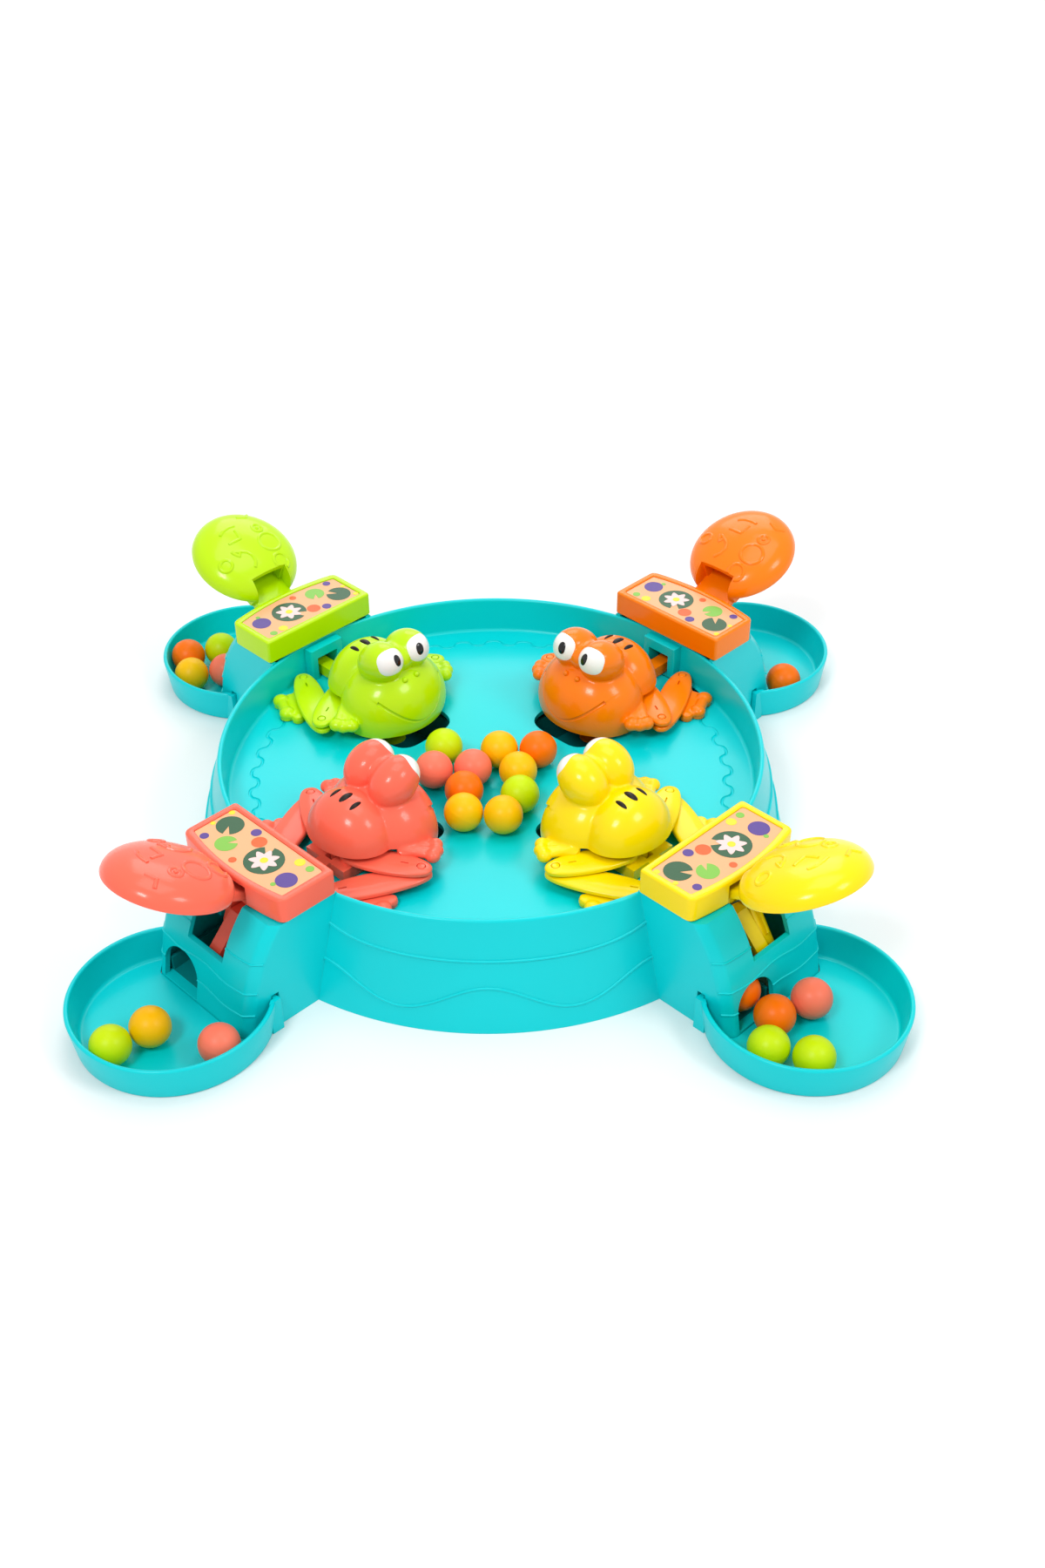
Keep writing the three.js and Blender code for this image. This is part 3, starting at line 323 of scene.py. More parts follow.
# Legs and feet
ANKLE = (97.9, 14.9)
KNEE = (65.91, 31.412)
HIP = (79.0, 7.0)
SHIN_LOW = 31.8
LEG_THICKNESS = 2.4
LEG_GAP = 0.4
LEG_END = 3.9
LEG_HALF_WIDTH = 6.2
LEG_TAPER = 0.8
LEG_STEPS = 24
# A leg plate's skin, as insets and heights from its underside, then from its top
LEG_LOWER_SKIN = [(0.4, 0.0), (0.0, 0.4)]
LEG_UPPER_SKIN = [
    (0.0, -1.1), (0.15, -0.75), (0.5, -0.5), (1.2, -0.3), (2.2, -0.1), (3.4, 0.08), (4.6, 0.18), (5.6, 0.2),
]
SLIT = (1.5, 0.3)
SLIT_AT = 6.4
SLIT_DEPTH = 0.75
JOINT_PIN = 1.5
PIN_FOOT = 0.3
PIN_EDGE_SHARE = 0.3
PIN_GAP = 0.2
HIP_CLEARANCE = 1.2
PIN_HEAD = 0.15
HEEL = 4.0
# Each toe: its place, how round it is and how high it stands
TOES = [(95.0, 29.6, 3.4, 4.9), (86.5, 33.4, 3.2, 4.7), (81.5, 31.6, 2.8, 3.2), (78.6, 25.3, 2.8, 3.0)]
TOE_BAR = 2.4
FOOT_VOXEL = 0.45
FOOT_SMOOTHING = 4
WEB_HEIGHT = 3.1
WEB_DRAW = 0.12
WEB_SPREAD = 75.0
TOE_WEB_SHARE = 0.9
TOE_SINK = 0.2
TOE_BAR_RISE = 2.0

# Surfaces
COAT_ROUGHNESS = 0.1
SPECULAR = 0.2
BROAD_SCALE = 30.0
TONE_LOW = 0.94
ROUGHNESS_LOW = 0.9
ROUGHNESS_HIGH = 1.15
BEVEL_SAMPLES = 4
GRAIN_DETAIL = 4
GRAIN_SCALE = 700.0
MARBLE_GRAIN = 0.06
INK_GRAIN = (0.05, 1500.0)
FINE_EDGE = 0.1
INK_EDGE = 0.05
# Roughness and coat
ARENA_FINISH = (0.3, 0.05)
CHUTE_FINISH = (0.4, 0.0)
STEEL_FINISH = (0.3, 0.0)
PLAYER_FINISH = (0.22, 0.2)
MARBLE_FINISH = (0.36, 0.0)
EYE_WHITE_FINISH = (0.16, 0.5)
EYE_BLACK_FINISH = (0.14, 0.5)
MARK_FINISH = (0.3, 0.0)
INK_FINISH = (0.38, 0.2)
TURQUOISE = (0.0, 0.62, 0.66)
# The chutes' turquoise is darkened to about a third of the arena's: painted shade for the chutes seen in
# shadow through the holes
CHUTE_PAINTED_SHADE_TURQUOISE = (0.0, 0.22, 0.23)
STEEL = (0.55, 0.56, 0.58)
WHITE = (0.9, 0.9, 0.88)
PUPIL_BLACK = (0.004, 0.004, 0.004)
MARK_BLACK = (0.012, 0.008, 0.006)
PLAYER = {
    "pink": (0.98, 0.145, 0.085),
    "yellow": (0.98, 0.72, 0.0),
    "orange": (0.98, 0.21, 0.0),
    "green": (0.5, 0.8, 0.0),
}
MARBLE = {
    "pink": (0.95, 0.2, 0.12),
    "yellow": (0.95, 0.52, 0.0),
    "orange": (0.95, 0.17, 0.0),
    "green": (0.56, 0.78, 0.0),
}
INKS = {
    "peach": (0.81, 0.42, 0.2),
    "dark_green": (0.015, 0.09, 0.03),
    "light_green": (0.2, 0.5, 0.05),
    "purple": (0.08, 0.035, 0.26),
    "orange": (0.83, 0.11, 0.01),
    "yellow": (0.95, 0.68, 0.01),
    "lotus": (0.92, 0.62, 0.6),
}

# Camera, fitted to the photograph, in metres and degrees
CAMERA_DISTANCE = 0.7147
CAMERA_AZIMUTH = 1.33
CAMERA_ELEVATION = 38.74
CAMERA_ROLL = -1.06
CAMERA_LENS = 40.344
CAMERA_SHIFT = (0.01946, 0.02716)

# Floor and light, in metres
FLOOR_SIZE = 6.0
FLOOR_COLOUR = (0.86, 0.86, 0.86)
FLOOR_ROUGHNESS = 0.9
FLOOR_GLOW = (0.45, 0.45, 0.45)
GLOW_START = 0.25
GLOW_FULL = 0.9
WORLD_LIGHT = 0.58
# Name, place, size and power
LIGHTS = [
    ("key", (-0.5, -0.9, 1.3), 0.35, 9), ("fill", (0.9, -0.5, 1.1), 0.4, 5),
    ("top", (0.1, 0.2, 1.5), 0.9, 6), ("back", (0.0, 1.15, 1.0), 0.8, 5),
]


def unit(degrees):
    """The cosine and sine of an angle."""
    angle = math.radians(degrees)
    return math.cos(angle), math.sin(angle)


def shown(name, data):
    """A new object in the scene."""
    made = bpy.data.objects.new(name, data)
    bpy.context.scene.collection.objects.link(made)
    return made


# Meshes: a pair of points in millimetres and faces

def outward(points, faces):
    points = np.asarray(points, float)
    volume = 0.0
    for face in faces:
        a = points[face[0]]
        for b, c in zip(face[1:], face[2:]):
            volume += np.dot(a, np.cross(points[b], points[c]))
    return points, ([tuple(reversed(face)) for face in faces] if volume < 0 else list(faces))


def between(rows):
    """The faces from row to row. A row at a pole repeats its only point."""
    faces = []
    for low, high in zip(rows, rows[1:]):
        for j, first in enumerate(low):
            k = (j + 1) % len(low)
            faces.append(tuple(dict.fromkeys((first, low[k], high[k], high[j]))))
    return faces


def numbered(rings):
    return np.arange(len(rings) * len(rings[0])).reshape(len(rings), -1).tolist()


def loft(rings):
    rows = numbered(rings)
    return outward(np.concatenate(rings), [*between(rows), rows[0][::-1], rows[-1]])


def lathe(profile, sides, centre=(0, 0)):
    points = []
    rows = []
    for radius, height in profile:
        first = len(points)
        if radius == 0:
            rows.append([first] * sides)
            points.append((centre[0], centre[1], height))
        else:
            rows.append(list(range(first, first + sides)))
            points += [(x, y, height) for x, y in circle(radius, centre, sides)]
    return outward(points, between(rows))


def block(x, y, z):
    ring = [(x[0], y[0]), (x[1], y[0]), (x[1], y[1]), (x[0], y[1])]
    return slab(ring, z)


def slab(outline, z):
    return loft([np.array([(x, y, height) for x, y in outline]) for height in z])


def side(outline, y):
    return loft([np.array([(x, across, z) for x, z in outline]) for across in y])


def upright(radius, centre, z, sides=32):
    return slab(circle(radius, centre, sides), z)


def crossbar(radius, centre, y, sides=40):
    return side(circle(radius, centre, sides), y)


def around(sides):
    return np.arange(sides) * 2 * math.pi / sides


def circle(radius, centre, sides):
    return [(centre[0] + radius * math.cos(a), centre[1] + radius * math.sin(a)) for a in around(sides)]


def rounded(corners, steps=5):
    """An outline whose corners (x, y, radius) are drawn round."""
    made = []
    count = len(corners)
    for i, (x, y, radius) in enumerate(corners):
        here = np.array((x, y))
        if radius == 0:
            made.append(here)
            continue
        ends = []
        for other in (corners[i - 1], corners[(i + 1) % count]):
            away = np.array(other[:2]) - here
            span = np.linalg.norm(away)
            ends.append(here + away / span * min(radius, span * CORNER_SHARE))
        for step in range(steps + 1):
            t = step / steps
            made.append((1 - t) ** 2 * ends[0] + 2 * t * (1 - t) * here + t ** 2 * ends[1])
    return np.array(made)


def arc(centre, radius, start, end, steps):
    angles = np.radians(np.linspace(start, end, steps + 1))
    return [(centre[0] + radius * math.cos(a), centre[1] + radius * math.sin(a)) for a in angles]


def tube(path, radius, sides=8, closed=False):
    """A round bar along a path."""
    path = np.asarray(path, float)
    if closed:
        tangents = np.roll(path, -1, 0) - np.roll(path, 1, 0)
    else:
        tangents = np.gradient(path, axis=0)
    tangents /= np.linalg.norm(tangents, axis=1)[:, None]
    normal = np.cross(tangents[0], (0, 0, 1.0))
    if np.linalg.norm(normal) < NEARLY_UPRIGHT:
        normal = np.cross(tangents[0], (0, 1.0, 0))
    rings = []
    angles = around(sides)
    for point, tangent in zip(path, tangents):
        normal = normal - tangent * np.dot(normal, tangent)
        normal /= np.linalg.norm(normal)
        beside = np.cross(tangent, normal)
        ring = np.outer(np.cos(angles), normal) + np.outer(np.sin(angles), beside)
        rings.append(point + radius * ring)
    if not closed:
        return loft(rings)
    rows = numbered(rings)
    drift = np.argmin(np.linalg.norm(rings[0] - rings[-1][0], axis=1))
    return outward(np.concatenate(rings), between([*rows, rows[0][drift:] + rows[0][:drift]]))


def ellipsoid(centre, radii, turn=None, sides=48):
    rings = sides // 2
    heights = [math.pi * i / rings for i in range(rings + 1)]
    profile = [(0 if i in (0, rings) else math.sin(a), -math.cos(a)) for i, a in enumerate(heights)]
    points, faces = lathe(profile, sides)
    points = points * radii
    if turn is not None:
        points = points @ np.array(turn).T
    return points + centre, faces


def tilt(degrees):
    """Turns about the station's cross axis: what points inward goes up."""
    c, s = unit(degrees)
    return np.array(((c, 0, s), (0, 1, 0), (-s, 0, c)))


def mirrored(mesh):
    points, faces = mesh
    return points * (1, -1, 1), [tuple(reversed(face)) for face in faces]


def moved(mesh, place, turn):
    return mesh[0] @ turn.T + place, mesh[1]


def together(*meshes):
    """Several bodies that don't touch, as one mesh."""
    points = []
    faces = []
    for some, corners in meshes:
        first = sum(len(p) for p in points)
        points.append(some)
        faces += [tuple(first + i for i in face) for face in corners]
    return np.concatenate(points), faces


def both_sides(mesh):
    return together(mesh, mirrored(mesh))


def everywhere(mesh):
    copies = []
    for angle, _ in STATIONS.values():
        c, s = unit(angle)
        copies.append((mesh[0] @ np.array(((c, s, 0), (-s, c, 0), (0, 0, 1))), mesh[1]))
    return together(*copies)


def to_data(mesh, name="mesh"):
    points, faces = mesh
    data = bpy.data.meshes.new(name)
    data.from_pydata([tuple(p) for p in points], [], faces)
    return data


def from_data(data):
    places = np.zeros(len(data.vertices) * 3)
    data.vertices.foreach_get("co", places)
    return places.reshape(-1, 3), [tuple(face.vertices) for face in data.polygons]


def worked(mesh, *steps):
    """The mesh after modifiers, each a type and its settings. A mesh among them becomes an object."""
    base = shown("base", to_data(mesh))
    used = [base]
    for kind, settings in steps:
        modifier = base.modifiers.new("step", kind)
        for key, value in settings.items():
            if key == "object":
                value = shown("tool", to_data(value))
                used.append(value)
            setattr(modifier, key, value)
    bpy.context.view_layer.update()
    graph = bpy.context.evaluated_depsgraph_get()
    result = bpy.data.meshes.new_from_object(base.evaluated_get(graph))
    made = from_data(result)
    bpy.data.meshes.remove(result)
    for one in used:
        data = one.data
        bpy.data.objects.remove(one)
        bpy.data.meshes.remove(data)
    return made


def combined(operation, mesh, tools):
    steps = [("BOOLEAN", {"operation": operation, "solver": "MANIFOLD", "object": tool}) for tool in tools]
    return worked(mesh, *steps)


def cut(mesh, *tools):
    return combined("DIFFERENCE", mesh, tools)


def joined(mesh, *tools):
    return combined("UNION", mesh, tools)


def bevelled(mesh, width, segments=2):
    return worked(mesh, ("BEVEL", {
        "width": width, "segments": segments, "limit_method": "ANGLE", "angle_limit": BEVEL_ANGLE,
    }))


def remeshed(mesh, voxel, smoothing):
    return worked(
        mesh,
        ("REMESH", {"mode": "VOXEL", "voxel_size": voxel}),
        ("SMOOTH", {"factor": SMOOTHING_FACTOR, "iterations": smoothing}),
    )


def piece(name, data, finish, body, stands_for=(), slot=None, angle=0):
    """A shown piece, turned to its station and riding on a body."""
    place(name, data, finish, body, stands_for, slot, Matrix.Rotation(math.radians(angle), 4, "Z"))


def place(name, data, finish, body, stands_for, slot, matrix):
    """A copy of the mesh data with its place in its points, so that its box is measured closely."""
    data = data.copy()
    data.transform(matrix)
    data.materials.append(finish)
    made = shown(name, data)
    if stands_for:
        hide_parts(*stands_for)
    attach(made, body)


def ready(mesh, name, sharp=32):
    """Mesh data in metres, shaded smooth up to an angle."""
    points, faces = mesh
    data = to_data((points * MM, faces), name)
    data.polygons.foreach_set("use_smooth", [True] * len(data.polygons))
    data.set_sharp_from_angle(angle=math.radians(sharp))
    return data


# Finishes

def fill(node, sockets):
    for key, value in sockets.items():
        node.inputs[key].default_value = value
    return node


def add(tree, kind, sockets=None, **settings):
    """A new shader node with the values of its sockets and its settings."""
    made = tree.nodes.new(f"ShaderNode{kind}")
    for key, value in settings.items():
        setattr(made, key, value)
    return fill(made, sockets or {})


def plastic(name, colour, finish, metallic=0.0, grain=0.03, grain_scale=GRAIN_SCALE, edge=0.25):
    """Moulded plastic or metal: uneven gloss, a fine grain and edges that catch the light."""
    roughness, coat = finish
    made = bpy.data.materials.new(name)
    made.use_nodes = True
    tree = made.node_tree
    link = tree.links.new
    shader = fill(tree.nodes["Principled BSDF"], {
        "Metallic": metallic, "Specular IOR Level": SPECULAR,
        "Coat Weight": coat, "Coat Roughness": COAT_ROUGHNESS,
    })
    place = add(tree, "TexCoord")
    broad = add(tree, "TexNoise", {"Scale": BROAD_SCALE})
    fine = add(tree, "TexNoise", {"Scale": grain_scale, "Detail": GRAIN_DETAIL})
    for noise in (broad, fine):
        link(place.outputs["Object"], noise.inputs["Vector"])
    tone = add(tree, "ValToRGB")
    low, high = tone.color_ramp.elements
    low.color = (*(part * TONE_LOW for part in colour), 1)
    high.color = (*colour, 1)
    link(broad.outputs["Fac"], tone.inputs["Fac"])
    link(tone.outputs["Color"], shader.inputs["Base Color"])
    wear = add(tree, "MapRange", {
        "To Min": roughness * ROUGHNESS_LOW, "To Max": roughness * ROUGHNESS_HIGH,
    })
    link(fine.outputs["Fac"], wear.inputs["Value"])
    link(wear.outputs["Result"], shader.inputs["Roughness"])
    bump = add(tree, "Bump", {"Strength": grain, "Distance": MM})
    link(fine.outputs["Fac"], bump.inputs["Height"])
    if edge:
        corner = add(tree, "Bevel", {"Radius": edge * MM}, samples=BEVEL_SAMPLES)
        link(corner.outputs["Normal"], bump.inputs["Normal"])
    link(bump.outputs["Normal"], shader.inputs["Normal"])
    return made


turquoise = plastic("turquoise_plastic", TURQUOISE, ARENA_FINISH)
# The chutes' plastic carries painted shade: its turquoise is darkened for the chutes seen in shadow through
# the holes
chute_painted_shade_plastic = plastic("chute_painted_shade_plastic", CHUTE_PAINTED_SHADE_TURQUOISE, CHUTE_FINISH)
spring_steel = plastic("spring_steel", STEEL, STEEL_FINISH, metallic=1.0)
players = {name: plastic(f"{name}_plastic", colour, PLAYER_FINISH) for name, colour in PLAYER.items()}
skins = {name: plastic(f"{name}_skin", colour, PLAYER_FINISH, edge=0) for name, colour in PLAYER.items()}
marble_plastics = {
    name: plastic(f"{name}_marble", colour, MARBLE_FINISH, grain=MARBLE_GRAIN, edge=0)
    for name, colour in MARBLE.items()
}
eye_white = plastic("eye_white", WHITE, EYE_WHITE_FINISH, edge=FINE_EDGE)
eye_black = plastic("eye_black", PUPIL_BLACK, EYE_BLACK_FINISH, edge=FINE_EDGE)
mark_black = plastic("mark_black", MARK_BLACK, MARK_FINISH, edge=FINE_EDGE)
grain, scale = INK_GRAIN
inks = {
    name: plastic(f"label_{name}", colour, INK_FINISH, grain=grain, grain_scale=scale, edge=INK_EDGE)
    for name, colour in INKS.items()
}

for name, node in frame["nodes"].items():
    if name.startswith("return_spring"):
        finish = spring_steel
    elif name == "ball_chutes":
        finish = chute_painted_shade_plastic
    elif name.startswith(("arena", "tray", "marble")):
        finish = turquoise
    else:
        finish = players[name.rsplit("_", 1)[-1]]
    node.data.materials.clear()
    node.data.materials.append(finish)


# Arena

def floor_at(radius):
    return FLOOR_HEIGHT - DISH_DEPTH * (1 + math.cos(math.pi * min(1, radius / DISH_RADIUS))) / 2


def outer_wall_at(height):
    return FOOT_RADIUS - (FOOT_RADIUS - RIM_RADIUS) * height / RIM_HEIGHT


def tower_face_at(height):
    shares, radii = zip(*TOWER_FACE)
    curve = np.polynomial.Polynomial.fit(shares, radii, 3)
    return float(curve(min(1, max(0, height / TOWER_HEIGHT))))


def bowl_inside():
    """The bowl's upper face from the rim's round inward to the middle."""
    rim = (RIM_RADIUS - BASE_WALL / 2, RIM_HEIGHT - BASE_WALL / 2)
    fillet = (FLOOR_RADIUS - FLOOR_FILLET, FLOOR_HEIGHT + FLOOR_FILLET)
    dish = [(r, floor_at(r)) for r in np.linspace(DISH_RADIUS, DOME_RADIUS + OVERRUN, 24)]
    dome = [
        (r, floor_at(r) + DOME_HEIGHT * (1 - (r / DOME_RADIUS) ** 2))
        for r in np.linspace(DOME_RADIUS, 0, 9)
    ]
    return [*arc(rim, BASE_WALL / 2, 0, 180, 10), *arc(fillet, FLOOR_FILLET, 0, -90, 6), *dish, *dome]


def bowl():
    cavity = outer_wall_at(CAVITY_TOP) - BASE_WALL
    underside = [
        (0, floor_at(0) - BASE_WALL),
        *((r, floor_at(r) - BASE_WALL) for r in np.linspace(DOME_RADIUS, DISH_RADIUS, 16)),
        (FLOOR_RADIUS + BASE_WALL, FLOOR_HEIGHT - BASE_WALL),
        (FLOOR_RADIUS + BASE_WALL, CAVITY_TOP),
        (cavity, CAVITY_TOP),
        (FOOT_RADIUS - BASE_WALL, 0),
        (FOOT_RADIUS, 0),
    ]
    return lathe([*underside, *bowl_inside()], ARENA_SIDES)


def bowl_core(wall):
    """All the space inside the middle of the outer wall, to keep the towers out of it."""
    top = TOWER_HEIGHT + OVERRUN
    low = FOOT_RADIUS - wall + (FOOT_RADIUS - RIM_RADIUS) * OVERRUN / RIM_HEIGHT
    high = outer_wall_at(top) - wall
    return lathe([(0, -OVERRUN), (low, -OVERRUN), (high, top), (0, top)], ARENA_SIDES)


def tower_block(inset, beyond, start=TOWER_START):
    rings = []
    half = TOWER_HALF_WIDTH - inset
    for height in np.linspace(-beyond, TOWER_HEIGHT + beyond, 16):
        face = tower_face_at(height) - inset
        back = face - TOWER_CHAMFER
        flat = half - TOWER_CHAMFER
        corners = [
            (start, -half, 0), (back, -half, TOWER_CORNER), (face, -flat, TOWER_CORNER),
            (face, flat, TOWER_CORNER), (back, half, TOWER_CORNER), (start, half, 0),
        ]
        rings.append(np.array([(x, y, height) for x, y in rounded(corners)]))
    return loft(rings)


def tower_lip():
    """The top of a tower's outer walls, drawn inward to meet the cap."""
    ring = cut(tower_block(0, 0), tower_block(LIP_WIDTH, OVERRUN))
    half = TOWER_HALF_WIDTH + OVERRUN
    band = block(
        (HINGE_RADIUS, TOWER_FACE[0][1] + OVERRUN), (-half, half),
        (TOWER_HEIGHT - LIP_THICKNESS, TOWER_HEIGHT + OVERRUN),
    )
    return combined("INTERSECT", ring, [band])


def tower_fittings():
    """The lever's bearing cheeks, the spring's ledge and the shelves for the cap's posts."""
    cheek = block(
        (TOWER_START, HINGE_RADIUS + CHEEK_REACH), (CHEEK_INSIDE, CHEEK_INSIDE + CHEEK_WIDTH),
        (CHEEK_BOTTOM, CHEEK_TOP),
    )
    shelf = block(
        (TOWER_START, CAP_POST_RADIUS + SHELF_REACH),
        (CHEEK_INSIDE + CHEEK_WIDTH / 2, TOWER_HALF_WIDTH - BASE_WALL / 2),
        (SHELF_TOP - SHELF_THICKNESS, SHELF_TOP),
    )
    half = EXIT_HALF_WIDTH + OVERRUN
    sill = block(
        (EXIT_SILL_START, TOWER_FACE[1][1]), (EXIT_CENTRE - half, EXIT_CENTRE + half),
        (SEAT_GAP, EXIT_SILL),
    )
    return joined(both_sides(cheek), both_sides(shelf), block(*LEDGE), sill)


def window_frame():
    """A frame round the rail's window, with a rounded front."""
    depth = (FRAME_RADIUS, RIM_RADIUS - BASE_WALL / 2)
    half = FRAME_HALF_WIDTH
    corners = [
        (depth[0], -half, FRAME_ROUND), (depth[1], -half, 0),
        (depth[1], half, 0), (depth[0], half, FRAME_ROUND),
    ]
    return slab(rounded(corners), (FLOOR_HEIGHT - BASE_WALL / 2, RIM_HEIGHT - BASE_WALL / 2))


def exit_arch():
    start = TOWER_FACE[-2][1] + OVERRUN
    end = TOWER_FACE[0][1] + OVERRUN
    outline = [(EXIT_CENTRE - EXIT_HALF_WIDTH, EXIT_SILL), (EXIT_CENTRE + EXIT_HALF_WIDTH, EXIT_SILL)]
    for angle in np.linspace(0, math.pi, 25):
        outline.append((
            EXIT_CENTRE + EXIT_HALF_WIDTH * math.cos(angle),
            EXIT_SPRING + (EXIT_TOP - EXIT_SPRING) * math.sin(angle),
        ))
    return loft([np.array([(x, y, z) for y, z in outline]) for x in (start, end)])


def floor_hole():
    corners = [
        (x, y, HOLE_CORNER)
        for x, y in (
            (HOLE_START, -HOLE_HALF_WIDTH), (HOLE_END, -HOLE_HALF_WIDTH),
            (HOLE_END, HOLE_HALF_WIDTH), (HOLE_START, HOLE_HALF_WIDTH),
        )
    ]
    low = FLOOR_HEIGHT - DISH_DEPTH - BASE_WALL - OVERRUN
    return slab(rounded(corners, 8), (low, FLOOR_HEIGHT + OVERRUN))


def pivot_slots():
    half = TOWER_HALF_WIDTH - BASE_WALL - OVERRUN
    radius = PIVOT_RADIUS + SEAT_GAP
    opening = block(
        (HINGE_RADIUS - radius, HINGE_RADIUS + radius), (-half, half), (HINGE_HEIGHT, CHEEK_TOP + OVERRUN),
    )
    return joined(crossbar(radius, (HINGE_RADIUS, HINGE_HEIGHT), (-half, half)), opening)


def station_cuts():
    groove = block(
        (GROOVE_RADIUS, GROOVE_RADIUS + GROOVE_WIDTH),
        (TOWER_HALF_WIDTH - BASE_WALL - OVERRUN, TOWER_HALF_WIDTH + OVERRUN),
        (-OVERRUN, GROOVE_TOP),
    )
    return [
        block(
            (FRAME_RADIUS - OVERRUN, RIM_RADIUS + 4 * OVERRUN),
            (-WINDOW_HALF_WIDTH, WINDOW_HALF_WIDTH), (WINDOW_SILL, WINDOW_TOP),
        ),
        block(
            (tower_face_at(TOWER_HEIGHT) - SLOT_DEPTH / 2, TOWER_FACE[0][1] + OVERRUN),
            (-SLOT_HALF_WIDTH, SLOT_HALF_WIDTH), (SLOT_BOTTOM, TOWER_HEIGHT + OVERRUN),
        ),
        exit_arch(),
        floor_hole(),
        both_sides(groove),
        block(*CHUTE_PASSAGE),
        pivot_slots(),
    ]


def wall_arc(height, azimuth, half_span, steps):
    """A ridge's path on the outer wall, its height a function of the angle from its middle."""
    path = []
    for angle in np.linspace(-half_span, half_span, steps):
        z = height(angle)
        r = outer_wall_at(z)
        a = math.radians(azimuth + angle)
        path.append((r * math.cos(a), r * math.sin(a), z))
    return path


def upper_ridge(angle):
    height, rise, power = UPPER_RIDGE
    return height + rise * abs(angle / WALL_HALF_SPAN) ** power


def lower_ridge(angle):
    height, swing, period = LOWER_RIDGE
    return height + swing * math.cos(2 * math.pi * angle / period)


def wall_ridges():
    tubes = []
    for azimuth in QUARTERS:
        for height in (upper_ridge, lower_ridge):
            tubes.append(tube(wall_arc(height, azimuth, WALL_HALF_SPAN, 90), RIDGE))
    return together(*tubes)


def tower_ridges():
    """Gentle waves across the face of a tower and round its chamfers."""
    tubes = []
    flat = TOWER_HALF_WIDTH - TOWER_CHAMFER
    for height, swing in TOWER_RIDGES:
        path = []
        for y in np.linspace(-TOWER_HALF_WIDTH, TOWER_HALF_WIDTH, 60):
            z = height + swing * math.cos(2 * math.pi * y / TOWER_HALF_WIDTH)
            path.append((tower_face_at(z) - max(0, abs(y) - flat), y, z))
        tubes.append(tube(path, TOWER_RIDGE))
    return together(*tubes)


def floor_waves():
    tubes = []
    for azimuth in QUARTERS:
        path = []
        for angle in np.linspace(-WAVE_HALF_SPAN, WAVE_HALF_SPAN, 320):
            phase = math.radians(WAVE_COUNT * angle)
            r = WAVE_RADIUS + WAVE_SWING * math.cos(phase)
            a = math.radians(azimuth + angle) + WAVE_ROUND * math.sin(2 * phase) / WAVE_COUNT
            path.append((r * math.cos(a), r * math.sin(a), FLOOR_HEIGHT))
        tubes.append(tube(path, WAVE_LINE))
    return together(*tubes)


def arena():
    core = bowl_core(BASE_WALL / 2)
    towers = cut(everywhere(tower_block(0, 0)), everywhere(tower_block(BASE_WALL, OVERRUN)), core)
    fittings = cut(everywhere(tower_fittings()), core)
    ear = (EAR_RADIUS, EAR_OFFSET)
    pin_low = EAR_HEIGHT - SHELF_THICKNESS - PIN_REACH
    posts = everywhere(both_sides(joined(
        upright(POST_RADIUS, ear, (EAR_HEIGHT + SEAT_GAP, FLOOR_HEIGHT - BASE_WALL / 2)),
        upright(PIN_RADIUS, ear, (pin_low, EAR_HEIGHT + OVERRUN)),
    )))
    ridges = cut(together(wall_ridges(), everywhere(tower_ridges())), bowl_core(BASE_WALL))
    lips, frames = everywhere(tower_lip()), everywhere(window_frame())
    whole = joined(bowl(), towers, lips, fittings, frames, posts, ridges)
    return cut(whole, floor_waves(), *map(everywhere, station_cuts()))


piece("arena_shell", ready(arena(), "arena_shell", 28), turquoise, "arena", ("arena_base",), "turquoise")


# Caps and their labels

def cap_outline(inset):
    half = CAP_HALF_WIDTH - inset
    back = CAP_START + inset
    edge = CAP_EDGE - inset
    corner = max(CAP_CORNER - inset, CAP_BACK_CORNER / 2)
    reach = half - CAP_BOW_START * CAP_CORNER
    bow = [(edge + CAP_BOW * (1 - (y / half) ** 2), y, 0) for y in np.linspace(-reach, reach, 17)]
    return rounded([
        (back, half, CAP_BACK_CORNER), (back, -half, CAP_BACK_CORNER),
        (edge, -half, corner), *bow, (edge, half, corner),
    ])


def nested(outline, steps):
    """A closed skin through outlines drawn in by an inset, each at its height."""
    return loft([np.array([(x, y, height) for x, y in outline(inset)]) for inset, height in steps])


